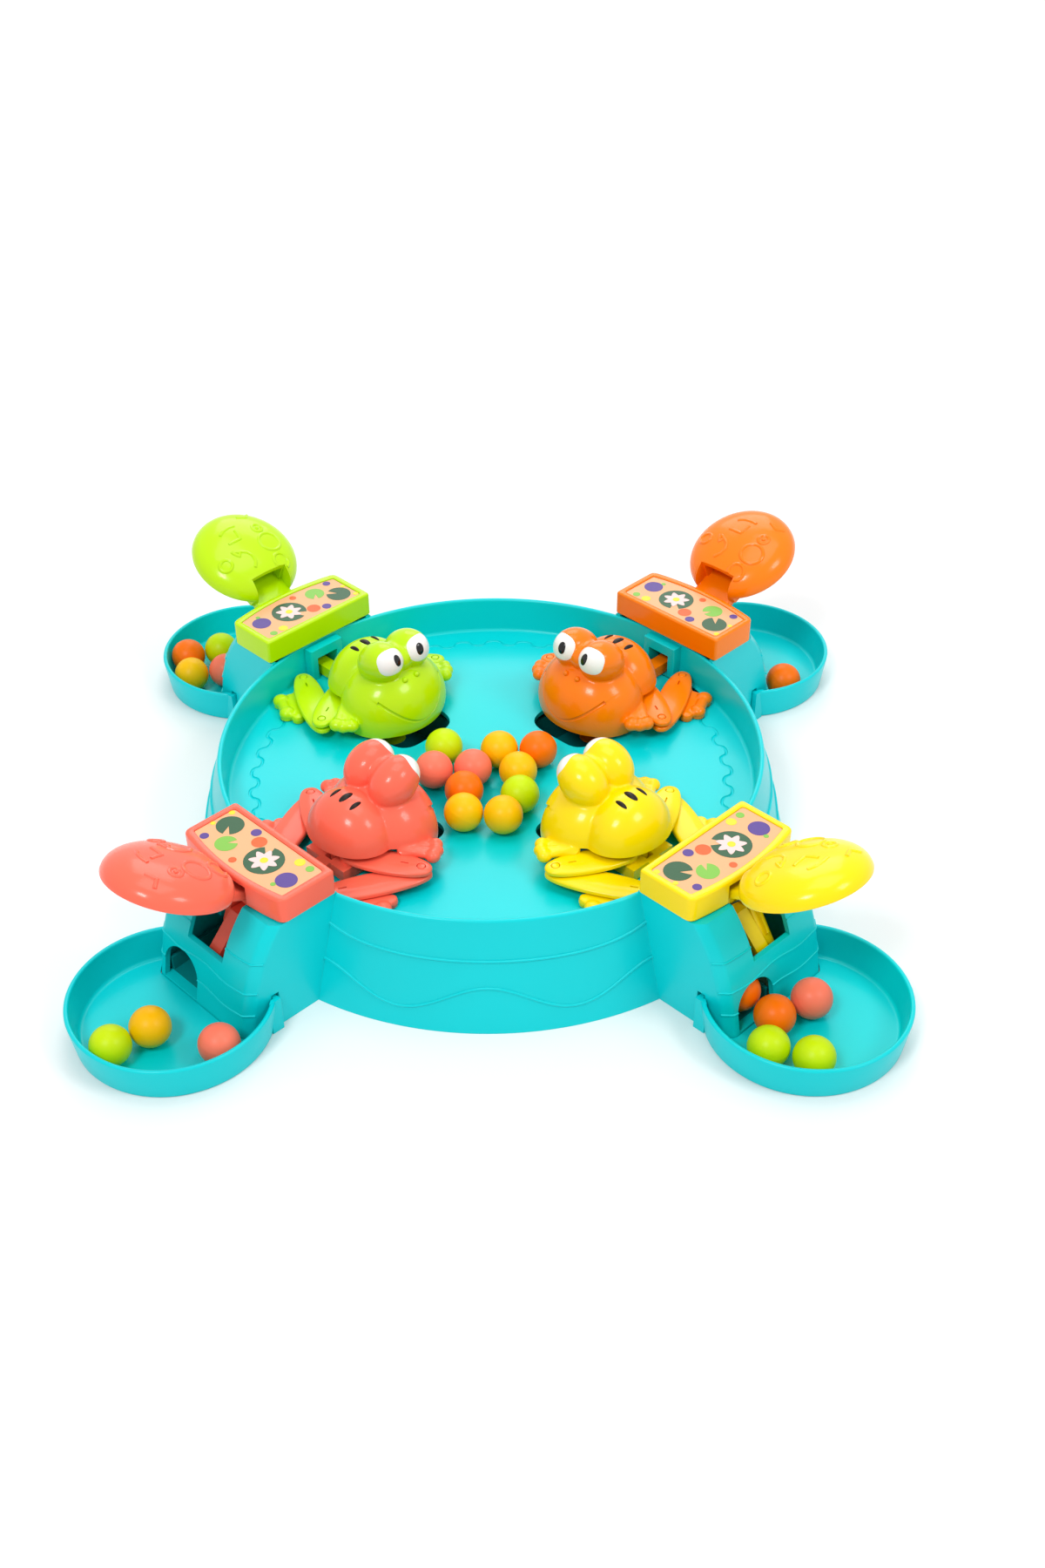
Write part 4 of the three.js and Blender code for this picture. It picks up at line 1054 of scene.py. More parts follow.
def cap():
    bottom = TOWER_HEIGHT + SEAT_GAP
    top = bottom + CAP_HEIGHT
    ceiling = top - CAP_WALL
    rim = [(CAP_ROUND - x, top - CAP_ROUND + z) for x, z in arc((0, 0), CAP_ROUND, 0, 90, 5)]
    inner_round = LABEL_INSET - LABEL_RECESS / 2
    edge = CAP_BACK_CORNER / 4
    shell = nested(cap_outline, [
        (CAP_WALL, ceiling), (CAP_WALL, bottom), (edge, bottom), (0, bottom + edge), *rim,
        (inner_round, top), (LABEL_INSET, top - LABEL_RECESS / 4), (LABEL_INSET, top - LABEL_RECESS),
    ])
    notch = block(
        (HINGE_RADIUS, CAP_EDGE + 2 * CAP_BOW), (-CAP_NOTCH_HALF_WIDTH, CAP_NOTCH_HALF_WIDTH),
        (bottom - OVERRUN, ceiling),
    )
    place = (CAP_POST_RADIUS, CAP_POST_OFFSET)
    posts = joined(
        upright(POST_RADIUS, place, (SHELF_TOP + SEAT_GAP, ceiling + OVERRUN / 2)),
        upright(PIN_RADIUS, place, (SHELF_TOP - SHELF_THICKNESS - PIN_REACH, SHELF_TOP + OVERRUN)),
    )
    tongue = block(
        (HINGE_RADIUS - PIVOT_RADIUS, HINGE_RADIUS + PIVOT_RADIUS),
        (CHEEK_INSIDE + SEAT_GAP, CHEEK_INSIDE + CHEEK_WIDTH - SEAT_GAP),
        (HINGE_HEIGHT + PIVOT_RADIUS + RUN_GAP, ceiling + OVERRUN / 2),
    )
    return joined(cut(shell, notch), both_sides(posts), both_sides(tongue))


def label_height():
    return TOWER_HEIGHT + SEAT_GAP + CAP_HEIGHT - LABEL_RECESS


def label_ground():
    low = label_height() + INK / 4
    return slab(cap_outline(LABEL_INSET + 2 * INK), (low, low + LABEL_THICKNESS))


def ink(outline, layer=1):
    low = label_height() + INK / 4 + LABEL_THICKNESS + (layer - 1) * INK + INK / 4
    return slab(outline, (low, low + INK))


def pad(centre, radius, facing):
    """A lily pad: a disc with a notch."""
    points = arc(centre, radius, facing + PAD_NOTCH, facing + 360 - PAD_NOTCH, 26)
    return [*points, (centre[0] + radius * PAD_HEART_SHARE * unit(facing)[0], centre[1])]


def petal(centre, length, width, facing):
    c, s = unit(facing)
    points = []
    for t in around(20):
        along = length * (1 + math.cos(t)) / 2
        across = width / 2 * math.sin(t) * (1 - PETAL_TAPER * math.cos(t))
        points.append((centre[0] + along * c - across * s, centre[1] + along * s + across * c))
    return points


def label_prints():
    """Each ink with its thin bodies: pads, a lotus on the first of them, and dots."""
    middle = (CAP_START + CAP_EDGE) / 2
    prints = {name: [] for name in INKS if name != "peach"}
    for name, (x, y), radius, facing in PADS:
        prints[name].append(ink(pad((middle + x, y), radius, facing)))
    for name, places in DOTS.items():
        prints[name] += [ink(circle(radius, (middle + x, y), 36)) for x, y, radius in places]
    flower = (middle + PADS[0][1][0], PADS[0][1][1])
    prints["yellow"].append(ink(circle(FLOWER_HEART, flower, 24), 3))
    for i in range(PETALS):
        prints["lotus"].append(ink(petal(flower, PETAL_LENGTH, PETAL_WIDTH, 360 * i / PETALS), 2))
    return prints


cap_data = ready(cap(), "cap", 28)
ground_data = ready(label_ground(), "label_ground")
print_data = {name: ready(joined(*bodies), f"label_{name}") for name, bodies in label_prints().items()}
for name, (angle, relief) in STATIONS.items():
    piece(f"cap_moulding_{name}", cap_data, players[name], "arena", (f"cap_{name}",), name, angle)
    piece(f"label_ground_{name}", ground_data, inks["peach"], "arena", (), name, angle)
    for ink_name, data in print_data.items():
        piece(f"label_{ink_name}_{name}", data, inks[ink_name], "arena", (), name, angle)


# Levers

def paddle_height_at(x, y):
    flat = math.hypot(x / PADDLE_LENGTH, y / PADDLE_WIDTH)
    return PADDLE_HEIGHT * max(0, 1 - flat ** (2 / PADDLE_FULLNESS)) ** (PADDLE_FULLNESS / 2)


def paddle_dome(inset, below):
    profile = [(0, -below), (PADDLE_LENGTH - inset - PADDLE_ROUND, -below)]
    if inset == 0:
        profile.append((PADDLE_LENGTH - PADDLE_ROUND / 4, PADDLE_ROUND / 4))
    for t in np.linspace(DOME_START_SHARE if inset == 0 else 0, 1, 22):
        angle = math.pi / 2 * t
        radius = (PADDLE_LENGTH - inset) * math.cos(angle) ** PADDLE_FULLNESS if t < 1 else 0
        profile.append((radius, (PADDLE_HEIGHT - inset) * math.sin(angle) ** PADDLE_FULLNESS))
    points, faces = lathe(profile, PADDLE_SIDES)
    return points * (1, (PADDLE_WIDTH - inset) / (PADDLE_LENGTH - inset), 1), faces


def hinge_from_paddle():
    x = HINGE_RADIUS - PADDLE_CENTRE[0]
    z = HINGE_HEIGHT - PADDLE_CENTRE[1]
    c, s = unit(PADDLE_TILT)
    return x * c + z * s, z * c - x * s


def on_dome(points):
    return [(x, y, paddle_height_at(x, y) - RELIEF_SINK) for x, y in points]


def along(corners, step=0.6):
    """A line through corners, in short steps."""
    path = []
    for (x0, y0), (x1, y1) in zip(corners, corners[1:]):
        count = max(2, round(math.hypot(x1 - x0, y1 - y0) / step))
        path += [(x0 + (x1 - x0) * i / count, y0 + (y1 - y0) * i / count) for i in range(count)]
    return [*path, corners[-1]]


def relief(direction):
    """The raised rings and lines on a paddle, as bars half sunk in its dome."""
    bars = []
    for (x, y), radius in RELIEF_RINGS:
        ring = circle(radius, (x, direction * y), 40)
        bars.append(tube(on_dome(ring), RELIEF, closed=True))
    for line in RELIEF_LINES:
        bars.append(tube(on_dome(along([(x, direction * y) for x, y in line])), RELIEF))
    (x, y), radii = RELIEF_DOT
    dot = ellipsoid((x, direction * y, paddle_height_at(x, y)), radii, sides=16)
    return [*bars, dot]


def arm():
    hinge_x, hinge_z = hinge_from_paddle()
    top = -ARM_DROP
    low = top - ARM_THICKNESS
    half, over = (HUB_RADIUS * share for share in ARM_HUB_SHARES)
    body = bevelled(side([
        (ARM_END, top), (hinge_x + ARM_BEND, top),
        (hinge_x - half, hinge_z + over), (hinge_x, hinge_z - half),
        (hinge_x + ARM_BEND, low), (ARM_END, low),
    ], (-ARM_HALF_WIDTH, ARM_HALF_WIDTH)), ARM_ROUND, 3)
    start = -PADDLE_LENGTH + PADDLE_NOTCH
    tops = [
        (x, paddle_height_at(x, ARM_HALF_WIDTH) - PADDLE_WALL / 2) for x in (ARM_END, 0, start / 2, start)
    ]
    rib = side(
        [(start, top - ARM_THICKNESS / 2), (ARM_END, top - ARM_THICKNESS / 2), *tops],
        (ARM_HALF_WIDTH - RIB_WIDTH, ARM_HALF_WIDTH),
    )
    return joined(body, both_sides(rib))


def link_outline(a, b, ra, rb):
    """Two round ends joined by straight edges."""
    heading = math.degrees(math.atan2(b[1] - a[1], b[0] - a[0]))
    lean = math.degrees(math.asin((ra - rb) / math.hypot(b[0] - a[0], b[1] - a[1])))
    return [
        *arc(a, ra, heading + 90 - lean, heading + 270 + lean, 16),
        *arc(b, rb, heading - 90 + lean, heading + 90 - lean, 16),
    ]


def drive_peg():
    c, s = unit(DRIVE_ANGLE)
    return HINGE_RADIUS + DRIVE_LENGTH * s, HINGE_HEIGHT - DRIVE_LENGTH * c


def lever(direction):
    hinge = (HINGE_RADIUS, HINGE_HEIGHT)
    notch = block(
        (-PADDLE_LENGTH - OVERRUN, -PADDLE_LENGTH + PADDLE_NOTCH),
        (-ARM_HALF_WIDTH - RUN_GAP, ARM_HALF_WIDTH + RUN_GAP), (-OVERRUN, PADDLE_HEIGHT),
    )
    dome = cut(joined(paddle_dome(0, 0), *relief(direction)), paddle_dome(PADDLE_WALL, OVERRUN), notch)
    sides = block(
        (-PADDLE_LENGTH, -PADDLE_LENGTH + PADDLE_NOTCH + OVERRUN),
        (ARM_HALF_WIDTH - RUN_GAP, ARM_HALF_WIDTH + RIB_WIDTH), (-PADDLE_HEIGHT, PADDLE_HEIGHT),
    )
    filled = paddle_dome(SEAM, ARM_DROP + ARM_THICKNESS / 2)
    paddle = joined(dome, arm(), combined("INTERSECT", filled, [both_sides(sides)]))
    paddle = moved(paddle, (PADDLE_CENTRE[0], 0, PADDLE_CENTRE[1]), tilt(-PADDLE_TILT))
    hub_start = SPRING_OUTSIDE + SPRING_WIRE + SPRING_PITCH * (SPRING_TURNS + 1)
    peg = drive_peg()
    link = link_outline(hinge, peg, HUB_RADIUS, DRIVE_TIP_RADIUS)
    drive = side(link, (DRIVE_INSIDE, DRIVE_INSIDE + DRIVE_WIDTH))
    way = np.subtract(peg, hinge) / DRIVE_LENGTH
    link = link_outline(hinge, hinge + way * DRIVE_LENGTH * FLANGE_SHARE, HUB_RADIUS, DRIVE_TIP_RADIUS / 2)
    flange = side(link, (hub_start, -DRIVE_INSIDE))
    outer = np.array((-way[1], way[0]))
    reaches = (0, HUB_RADIUS + RIB_WIDTH, DRIVE_TIP_RADIUS + RIB_WIDTH, 0)
    rib_line = [
        hinge + way * DRIVE_LENGTH * share + outer * reach
        for share, reach in zip(DRIVE_RIB_SHARES, reaches)
    ]
    middle = DRIVE_INSIDE + DRIVE_WIDTH / 2
    rib = side(rib_line, (middle - RIB_WIDTH / 3, middle + RIB_WIDTH / 3))
    body = joined(
        paddle,
        bevelled(drive, ARM_ROUND / 2, 2),
        flange,
        rib,
        crossbar(HUB_RADIUS, hinge, (hub_start, CHEEK_INSIDE - RUN_GAP)),
        crossbar(PEG_RADIUS, peg, (-RAIL_HALF_WIDTH, middle)),
    )
    room = crossbar(HUB_RADIUS + RUN_GAP, hinge, (-CHEEK_INSIDE, hub_start))
    return joined(cut(body, room), crossbar(PIVOT_RADIUS, hinge, (-PIVOT_HALF_LENGTH, PIVOT_HALF_LENGTH)))


# Trays

def tray():
    lip = TRAY_WALL / 2
    flare = (TRAY_RIM_RADIUS - TRAY_FOOT_RADIUS) / TRAY_HEIGHT
    fillet = (TRAY_FOOT_RADIUS - TRAY_WALL - TRAY_FILLET + flare * TRAY_FLOOR, TRAY_FLOOR + TRAY_FILLET)
    centre = (TRAY_CENTRE, 0)
    above = TRAY_HEIGHT + OVERRUN
    outer = [(0, 0), (TRAY_FOOT_RADIUS - TRAY_FILLET / 3, 0), (TRAY_FOOT_RADIUS, TRAY_FILLET / 3)]
    rim = arc((TRAY_RIM_RADIUS - lip, TRAY_HEIGHT - lip), lip, 0, 180, 8)
    inner = [*arc(fillet, TRAY_FILLET, 0, -90, 6), (0, TRAY_FLOOR)]
    dish = lathe([*outer, *rim, *inner], TRAY_SIDES, centre)
    room = lathe([
        (0, TRAY_FLOOR), (fillet[0] + TRAY_FILLET, TRAY_FLOOR), (TRAY_RIM_RADIUS - TRAY_WALL, TRAY_HEIGHT),
        (TRAY_RIM_RADIUS - TRAY_WALL, above), (0, above),
    ], TRAY_SIDES, centre)
    neck = TOWER_HALF_WIDTH + SEAT_GAP
    sides = block(
        (TRAY_NECK_START, TRAY_CENTRE - TRAY_FOOT_RADIUS * TRAY_NECK_SHARE),
        (neck, neck + TRAY_WALL), (0, TRAY_HEIGHT),
    )
    hook = bevelled(block(
        (TRAY_NECK_START, TRAY_NECK_START + HOOK_THICKNESS),
        (neck - HOOK_DEPTH, neck + TRAY_WALL), (0, TRAY_HEIGHT),
    ), TRAY_FILLET / 4)
    keep_out = joined(
        tower_block(-SEAT_GAP, OVERRUN),
        block((TOWER_START, TRAY_NECK_START), (-TRAY_RIM_RADIUS, TRAY_RIM_RADIUS), (-OVERRUN, above)),
    )
    return joined(cut(joined(dish, cut(both_sides(sides), room)), keep_out), both_sides(hook))


# Marbles

def marble():
    """A moulded ball with a fine seam round it and the mark of its gate."""
    profile = []
    for t in np.linspace(-90, 90, 45):
        c, s = unit(t)
        seam = SEAM * math.exp(-(t / SEAM_SPAN) ** 2)
        radius = 0 if abs(t) == 90 else (MARBLE_RADIUS + seam) * c
        profile.append((radius, MARBLE_RADIUS * s))
    ball = lathe(profile, 64)
    return cut(ball, upright(GATE_RADIUS, (0, 0), (MARBLE_RADIUS - SEAM, MARBLE_RADIUS + OVERRUN), 16))


# Frog shells

def muzzle_front(y, z):
    """The radius of the muzzle's skin at a place across it and a height."""
    (cx, _, cz), (rx, ry, rz) = MUZZLE
    inside = 1 - (y / ry) ** 2 - ((z - cz) / rz) ** 2
    return cx - rx * math.sqrt(max(0, inside))


def smile_height(y):
    low, rise, reach = SMILE
    return low + rise * abs(y / reach) ** SMILE_POWER


def frog_form():
    """Muzzle, back, eye bulges and hands grown together, with the jaw set back under the smile."""
    (mx, _, mz), muzzle = MUZZLE
    points, faces = slab(circle(HEAD_LOW_SHARE, (0, 0), 96), (HEAD_LOW - OVERRUN, mz))
    solids = [
        ellipsoid(*MUZZLE, sides=96),
        ellipsoid(*BACK, sides=96),
        ellipsoid(*SADDLE),
        (points * (muzzle[0], muzzle[1], 1) + (mx, 0, 0), faces),
    ]
    for way in (1, -1):
        flip = np.array((1, way, 1))
        solids.append(ellipsoid(EYE[0] * flip, EYE[1], tilt(EYE_TILT)))
        wrist, shoulder = WRIST * flip, SHOULDER * flip
        outline = [(shoulder[0] + reach, shoulder[1]) for reach in PALM_REACH]
        for angle in FINGER_ANGLES:
            c, s = unit(angle)
            tip = wrist + FINGER_REACH * np.array((-c, way * s, 0))
            flat = FINGER_RADIUS * FINGER_FLAT_SHARE
            solids.append(ellipsoid(tip, (FINGER_RADIUS, FINGER_RADIUS, flat), sides=24))
            solids.append(tube(np.linspace(shoulder, tip, 8), FINGER_RADIUS * FINGER_ROOT_SHARE, 12))
            outline.insert(1, (tip[0], tip[1]))
        solids.append(slab(outline, (WRIST[2] - PALM / 2, WRIST[2] + PALM / 2)))
        elbow = shoulder + ELBOW_SET * flip
        solids.append(tube(np.linspace(elbow, wrist, 8), FINGER_RADIUS * FINGER_FLAT_SHARE, 16))
    points, faces = remeshed(together(*solids), HEAD_VOXEL, HEAD_SMOOTHING)
    reach = SMILE[2] + JAW_FADE / 2
    for i, (x, y, z) in enumerate(points):
        if x < mx and abs(y) < reach:
            under = smile_height(y) - z
            if under > 0:
                share = min(1, under / JAW_SET) * min(1, (reach - abs(y)) / JAW_FADE)
                points[i] += JAW_SET * share * np.array((mx - x, -y, 0)) / math.hypot(mx - x, y)
    return points, faces


def smile_groove():
    heights = [(y, smile_height(y)) for y in np.linspace(-SMILE[2], SMILE[2], 60)]
    return tube([(muzzle_front(y, z), y, z) for y, z in heights], GROOVE, 10)


def head_cavity():
    """The room inside the shell, open below."""
    tools = []
    for (cx, _, cz), radii in (MUZZLE, BACK):
        inner = np.array(radii) - HEAD_WALL
        tools.append(ellipsoid((cx, 0, cz), inner, sides=64))
        points, faces = slab(circle(1, (0, 0), 64), (HEAD_LOW - 4 * OVERRUN, cz))
        tools.append((points * (inner[0], inner[1], 1) + (cx, 0, 0), faces))
    return joined(tools[0], *tools[1:])


def head_shell():
    back = BACK[0][0] + BACK[1][0] + 4 * OVERRUN
    low = HEAD_LOW - 6 * OVERRUN
    front = MUZZLE[0][0] - MUZZLE[1][0] - 9 * OVERRUN
    below = block((front, back), (-HEAD_ROOM, HEAD_ROOM), (low - 9 * OVERRUN, HEAD_LOW))
    start, bend, high = REAR_EDGE
    fore = [(start[0], low), (back, low), (back, high), bend, (start[0], HEAD_LOW)]
    aft = [(REAR_STEP, low), (back, low), (back, high), (REAR_STEP, high - OVERRUN)]
    rear = joined(side(fore, (-REAR_FORE, REAR_FORE)), side(aft, (-REAR_AFT, REAR_AFT)))
    place, radii = NOSTRIL
    nostrils = [ellipsoid(place * np.array((1, way, 1)), radii, sides=20) for way in (1, -1)]
    shell = cut(joined(frog_form(), *nostrils), smile_groove(), head_cavity(), below, rear)
    x, z = HEAD_PIVOT
    rib = joined(
        block((x - RIB_HALF, x + RIB_HALF), (-RIB_SIDE, RIB_SIDE), (z, RIB_TOP)),
        crossbar(RIB_HALF, HEAD_PIVOT, (-RIB_SIDE, RIB_SIDE)),
    )
    bore = crossbar(HEAD_PIN + RUN_GAP, HEAD_PIVOT, (-RIB_SIDE - OVERRUN, RIB_SIDE + OVERRUN))
    return joined(shell, cut(rib, bore))


def patch(tree, centre, facing, outline, low, high, edge):
    """A thin closed body laid on a surface, its outline drawn in the plane across the way it faces.

    Its rim is rounded over the outer share of its width that edge gives."""
    facing = Vector(facing).normalized()
    across = Vector((0, 0, 1)).cross(facing)
    across = Vector((0, 1, 0)) if across.length < NEARLY_UPRIGHT else across.normalized()
    up = facing.cross(across)
    count = len(outline)
    rows = []
    points = []
    layers = [(k, low) for k in np.linspace(0, 1, PATCH_RINGS)]
    for k in np.linspace(1, 0, 2 * PATCH_RINGS)[1:]:
        inward = min(1, (1 - k) / edge)
        layers.append((k, low + (high - low) * math.sqrt(inward * (2 - inward))))
    for share, height in layers:
        first = len(points)
        some = [(0.0, 0.0)] if share == 0 else outline
        for a, b in some:
            start = Vector(centre) + across * a * share + up * b * share + facing * RAY_START
            hit = tree.ray_cast(start, -facing)[0]
            points.append(np.array(hit + facing * height))
        rows.append([first] * count if share == 0 else list(range(first, first + count)))
    return outward(points, between(rows))


def oval(half_width, half_height, fullness=1.0, turn=0, sides=40):
    c, s = unit(turn)
    points = []
    for t in around(sides):
        a = half_width * math.copysign(abs(math.cos(t)) ** fullness, math.cos(t))
        b = half_height * math.copysign(abs(math.sin(t)) ** fullness, math.sin(t))
        points.append((a * c - b * s, a * s + b * c))
    return points


def head_details(shell):
    """Eye whites, pupils and the raised marks on the back, each laid on the shell."""
    tree = BVHTree.FromPolygons([tuple(p) for p in shell[0]], shell[1])
    whites, pupils = [], []
    level, rise = unit(GAZE_RISE)
    for way in (1, -1):
        facing = (-level, way * GAZE_ASIDE, rise)
        centre = EYE[0] * np.array((1, way, 1))
        outline = oval(*EYE_WHITE[:3])
        whites.append(patch(tree, centre, facing, outline, -PATCH_SINK, PATCH_RISE, EYE_WHITE[3]))
        spot = centre - (0, way * PUPIL_IN, PUPIL_DOWN)
        outline = oval(*PUPIL[:3], way * PUPIL_TURN)
        pupils.append(patch(tree, spot, facing, outline, 0, PUPIL_RISE, PUPIL[3]))
    marks = []
    for x, y, half_length, half_width in BACK_MARKS:
        outline = oval(half_width, half_length)
        spot = (x, y, BACK[0][2])
        marks.append(patch(tree, spot, (0, 0, 1), outline, -PATCH_SINK, MARK_RISE, MARK_EDGE_SHARE))
    return together(*whites), together(*pupils), together(*marks)


# Legs and feet

def leaf(start, end, inset):
    """The outline of a leg plate from one joint to the other."""
    (x0, y0), (x1, y1) = start, end
    dx, dy = x1 - x0, y1 - y0
    length = math.hypot(dx, dy)
    points = []
    for way in (1, -1):
        for i in range(2 * LEG_STEPS):
            t = math.pi * i / (2 * LEG_STEPS)
            reach = length / 2 - (length / 2 + LEG_END - inset) * way * math.cos(t)
            half = way * (LEG_HALF_WIDTH - inset) * math.sin(t) ** LEG_TAPER
            points.append((x0 + (dx * reach - dy * half) / length, y0 + (dy * reach + dx * half) / length))
    return points


def leg_plate(start, end, low):
    """A plate with a domed top and a slit by each joint."""
    top = low + LEG_THICKNESS
    skin = [(inset, low + height) for inset, height in LEG_LOWER_SKIN]
    skin += [(inset, top + height) for inset, height in LEG_UPPER_SKIN]
    plate = nested(lambda inset: leaf(start, end, inset), skin)
    ahead = (np.array(end) - start) / math.dist(start, end)
    beside = np.array((-ahead[1], ahead[0]))
    slits = []
    for place in (np.array(start) + ahead * SLIT_AT, np.array(end) - ahead * SLIT_AT):
        corners = ((-1, -1), (1, -1), (1, 1), (-1, 1))
        ring = [place + ahead * a * SLIT[0] + beside * b * SLIT[1] for a, b in corners]
        slits.append(slab(ring, (top - SLIT_DEPTH, top + OVERRUN)))
    return cut(plate, together(*slits))


def pin(place, low, top):
    edge = JOINT_PIN / 4
    return lathe([
        (0, low), (JOINT_PIN, low), (JOINT_PIN, top - edge),
        (JOINT_PIN - edge * PIN_EDGE_SHARE, top - edge * PIN_EDGE_SHARE), (JOINT_PIN - edge, top), (0, top),
    ], 28, place)


def bore(place, radius, low):
    return upright(radius, place, (low - OVERRUN, low + LEG_THICKNESS + OVERRUN))


def shin():
    top = SHIN_LOW + 2 * LEG_THICKNESS + LEG_GAP + PIN_HEAD
    plate = cut(leg_plate(ANKLE, KNEE, SHIN_LOW), bore(ANKLE, JOINT_PIN + PIN_GAP, SHIN_LOW))
    return joined(plate, pin(KNEE, SHIN_LOW + PIN_FOOT, top))


def thigh():
    low = SHIN_LOW + LEG_THICKNESS + LEG_GAP
    bores = bore(KNEE, JOINT_PIN + PIN_GAP, low), bore(HIP, JOINT_PIN + HIP_CLEARANCE, low)
    return cut(leg_plate(KNEE, HIP, low), *bores)


def webbed(lobes):
    """The outline round the toes and the heel, drawn in a little between them."""
    middle = np.mean([(x, y) for x, y, _ in lobes], axis=0)
    points = []
    for i, (x, y, round_) in enumerate(lobes):
        ahead = math.degrees(math.atan2(y - middle[1], x - middle[0]))
        points += arc((x, y), round_, ahead - WEB_SPREAD, ahead + WEB_SPREAD, 8)
        valley = (np.array((x, y)) + lobes[(i + 1) % len(lobes)][:2]) / 2
        points.append(tuple(valley + (middle - valley) * WEB_DRAW))
    return points


def foot():
    """A webbed foot with ball toes and the ankle's pin."""
    low = FLOOR_HEIGHT + SEAT_GAP
    lobes = [(x, y, round_ * TOE_WEB_SHARE) for x, y, round_, _ in TOES]
    web = slab(webbed([*lobes, (*ANKLE, HEEL)]), (low - OVERRUN, low + WEB_HEIGHT))
    balls = [
        ellipsoid((x, y, low + height / 2 - TOE_SINK), (round_, round_, height / 2 + TOE_SINK), sides=32)
        for x, y, round_, height in TOES
    ]
    ends = [(x, y, low + TOE_BAR_RISE) for x, y, _, _ in TOES[:2]]
    bar = tube(np.linspace(*ends, 8), TOE_BAR, 20)
    form = remeshed(together(web, bar, *balls), FOOT_VOXEL, FOOT_SMOOTHING)
    inner, outer = TOES[-1][0] - 3 * HEEL, TOES[0][0] + 3 * HEEL
    form = cut(form, block((inner, outer), (0, inner), (low - HEEL, low)))
    return joined(form, pin(ANKLE, low + PIN_FOOT, SHIN_LOW + LEG_THICKNESS + PIN_HEAD))


# Stations

tray_data = ready(tray(), "tray", 28)
shell = head_shell()
shell_data = ready(shell, "frog_shell", 40)
white_data, pupil_data, mark_data = (ready(mesh, "detail", 50) for mesh in head_details(shell))
lever_data = {direction: ready(lever(direction), "lever", 34) for direction in (1, -1)}
leg_data = {
    (kind, way): ready(mesh if way == "left" else mirrored(mesh), kind, 34)
    for kind, mesh in (("shin", shin()), ("thigh", thigh()), ("foot", foot()))
    for way in ("left", "right")
}
for name, (angle, relief_way) in STATIONS.items():
    finish = players[name]
    frog = f"frog_{name}"
    crank = f"lever_{name}"
    piece(f"lever_moulding_{name}", lever_data[relief_way], finish, crank, (crank,), name, angle)
    piece(f"tray_moulding_{name}", tray_data, turquoise, "arena", (f"tray_{name}",), "turquoise", angle)
    piece(f"frog_shell_{name}", shell_data, skins[name], frog, (f"frog_head_{name}",), name, angle)
    piece(f"eye_whites_{name}", white_data, eye_white, frog, (), name, angle)
    piece(f"pupils_{name}", pupil_data, eye_black, frog, (), name, angle)
    piece(f"back_marks_{name}", mark_data, mark_black, frog, (), name, angle)
    for (kind, way), data in leg_data.items():
        node = f"{kind}_{way}_{name}"
        body = "arena" if kind == "foot" else node
        piece(f"{kind}_plate_{way}_{name}", data, finish, body, (node,), name, angle)


# Marbles in the bowl, in the trays and one in a chute

marble_data = ready(marble(), "marble", 40)


def ball(name, colour, middle, turn, body, stands_for=()):
    """A marble, turned a golden angle from the last so that no two show the same seam."""
    tumble = Matrix.Rotation(turn * GOLDEN, 4, "Z") @ Matrix.Rotation(turn * GOLDEN / 2, 4, "X")
    matrix = Matrix.Translation(Vector(middle) * MM) @ tumble
    place(name, marble_data, marble_plastics[colour], body, stands_for, f"marble_{colour}", matrix)


for i, (x, y, colour) in enumerate(BOWL_MARBLES, 1):
    middle = (x, y, floor_at(math.hypot(x, y)) + MARBLE_RADIUS + SEAT_GAP)
    ball(f"bowl_marble_{i}", colour, middle, i, f"marble_{i}", (f"marble_{i}",))

count = len(BOWL_MARBLES)
for station, x, y, height, colour in LOOSE_MARBLES:
    count += 1
    turned = Matrix.Rotation(math.radians(STATIONS[station][0]), 3, "Z")
    ball(f"loose_marble_{count}", colour, turned @ Vector((x, y, height)), count, "arena")


# Camera

def camera():
    away, aside = unit(CAMERA_AZIMUTH)
    level, rise = unit(CAMERA_ELEVATION)
    c, s = unit(CAMERA_ROLL)
    back = Vector((aside * level, -away * level, rise))
    right = Vector((away, aside, 0))
    up = back.cross(right)
    turn = Matrix((right * c + up * s, up * c - right * s, back)).transposed().to_4x4()
    data = bpy.data.cameras.new("camera")
    data.lens = CAMERA_LENS
    data.sensor_fit = "AUTO"
    data.shift_x, data.shift_y = CAMERA_SHIFT
    made = shown("camera", data)
    made.matrix_world = Matrix.Translation(back * CAMERA_DISTANCE) @ turn
    bpy.context.scene.camera = made


camera()


# Floor and light

def seen_ray(tree):
    """1 for the rays that see the background: from the camera, or by reflection or through glass."""
    rays = add(tree, "LightPath")
    last = rays.outputs["Is Camera Ray"]
    for name in ("Is Glossy Ray", "Is Transmission Ray"):
        either = add(tree, "Math", operation="MAXIMUM")
        tree.links.new(last, either.inputs[0])
        tree.links.new(rays.outputs[name], either.inputs[1])
        last = either.outputs["Value"]
    return last


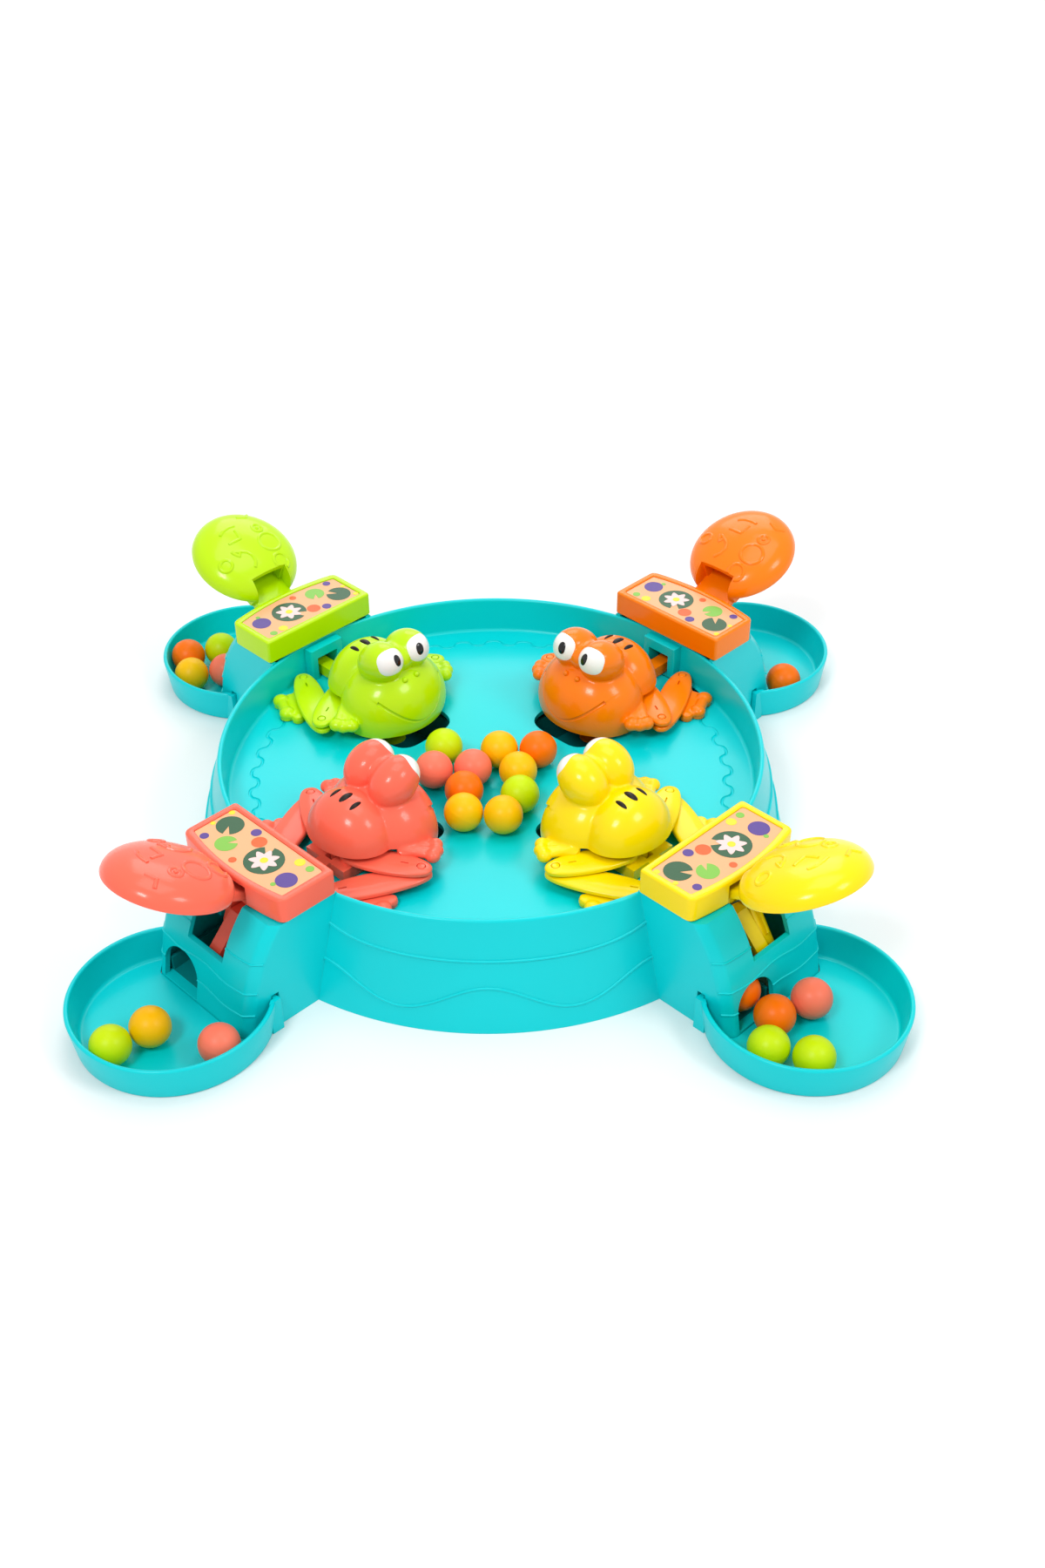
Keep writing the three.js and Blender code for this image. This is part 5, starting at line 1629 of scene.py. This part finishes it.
def floor():
    half = FLOOR_SIZE / 2
    corners = np.array([(-half, -half, 0), (half, -half, 0), (half, half, 0), (-half, half, 0)])
    data = to_data((corners, [(0, 1, 2, 3)]), "floor")
    finish = bpy.data.materials.new("floor")
    finish.use_nodes = True
    tree = finish.node_tree
    shader = fill(tree.nodes["Principled BSDF"], {
        "Base Color": (*FLOOR_COLOUR, 1), "Roughness": FLOOR_ROUGHNESS,
        "Specular IOR Level": 0.0, "Emission Color": (*FLOOR_GLOW, 1),
    })
    place = add(tree, "TexCoord")
    away = add(tree, "VectorMath", operation="LENGTH")
    tree.links.new(place.outputs["Object"], away.inputs[0])
    span = {"From Min": GLOW_START, "From Max": GLOW_FULL}
    fade = add(tree, "MapRange", span, interpolation_type="SMOOTHSTEP")
    tree.links.new(away.outputs["Value"], fade.inputs["Value"])
    glow = add(tree, "Math", operation="MULTIPLY")
    tree.links.new(fade.outputs["Result"], glow.inputs[0])
    tree.links.new(seen_ray(tree), glow.inputs[1])
    tree.links.new(glow.outputs["Value"], shader.inputs["Emission Strength"])
    data.materials.append(finish)
    shown("floor", data)


def area_light(name, place, size, power):
    """A square lamp turned to the middle of the game."""
    data = bpy.data.lights.new(name, "AREA")
    data.shape = "SQUARE"
    data.size = size
    data.energy = power
    turn = Vector(place).to_track_quat("Z", "Y").to_matrix().to_4x4()
    shown(name, data).matrix_world = Matrix.Translation(place) @ turn


def world(strength):
    made = bpy.data.worlds.new("world")
    bpy.context.scene.world = made
    made.use_nodes = True
    tree = made.node_tree
    tree.nodes.clear()
    output = add(tree, "OutputWorld")
    light = add(tree, "Background", {"Color": (1, 1, 1, 1), "Strength": strength})
    seen = add(tree, "Background", {"Color": (1, 1, 1, 1)})
    mix = add(tree, "MixShader")
    tree.links.new(seen_ray(tree), mix.inputs["Fac"])
    tree.links.new(light.outputs["Background"], mix.inputs[1])
    tree.links.new(seen.outputs["Background"], mix.inputs[2])
    tree.links.new(mix.outputs["Shader"], output.inputs["Surface"])


floor()
world(WORLD_LIGHT)
for light in LIGHTS:
    area_light(*light)

bpy.context.scene.view_settings.view_transform = "Standard"
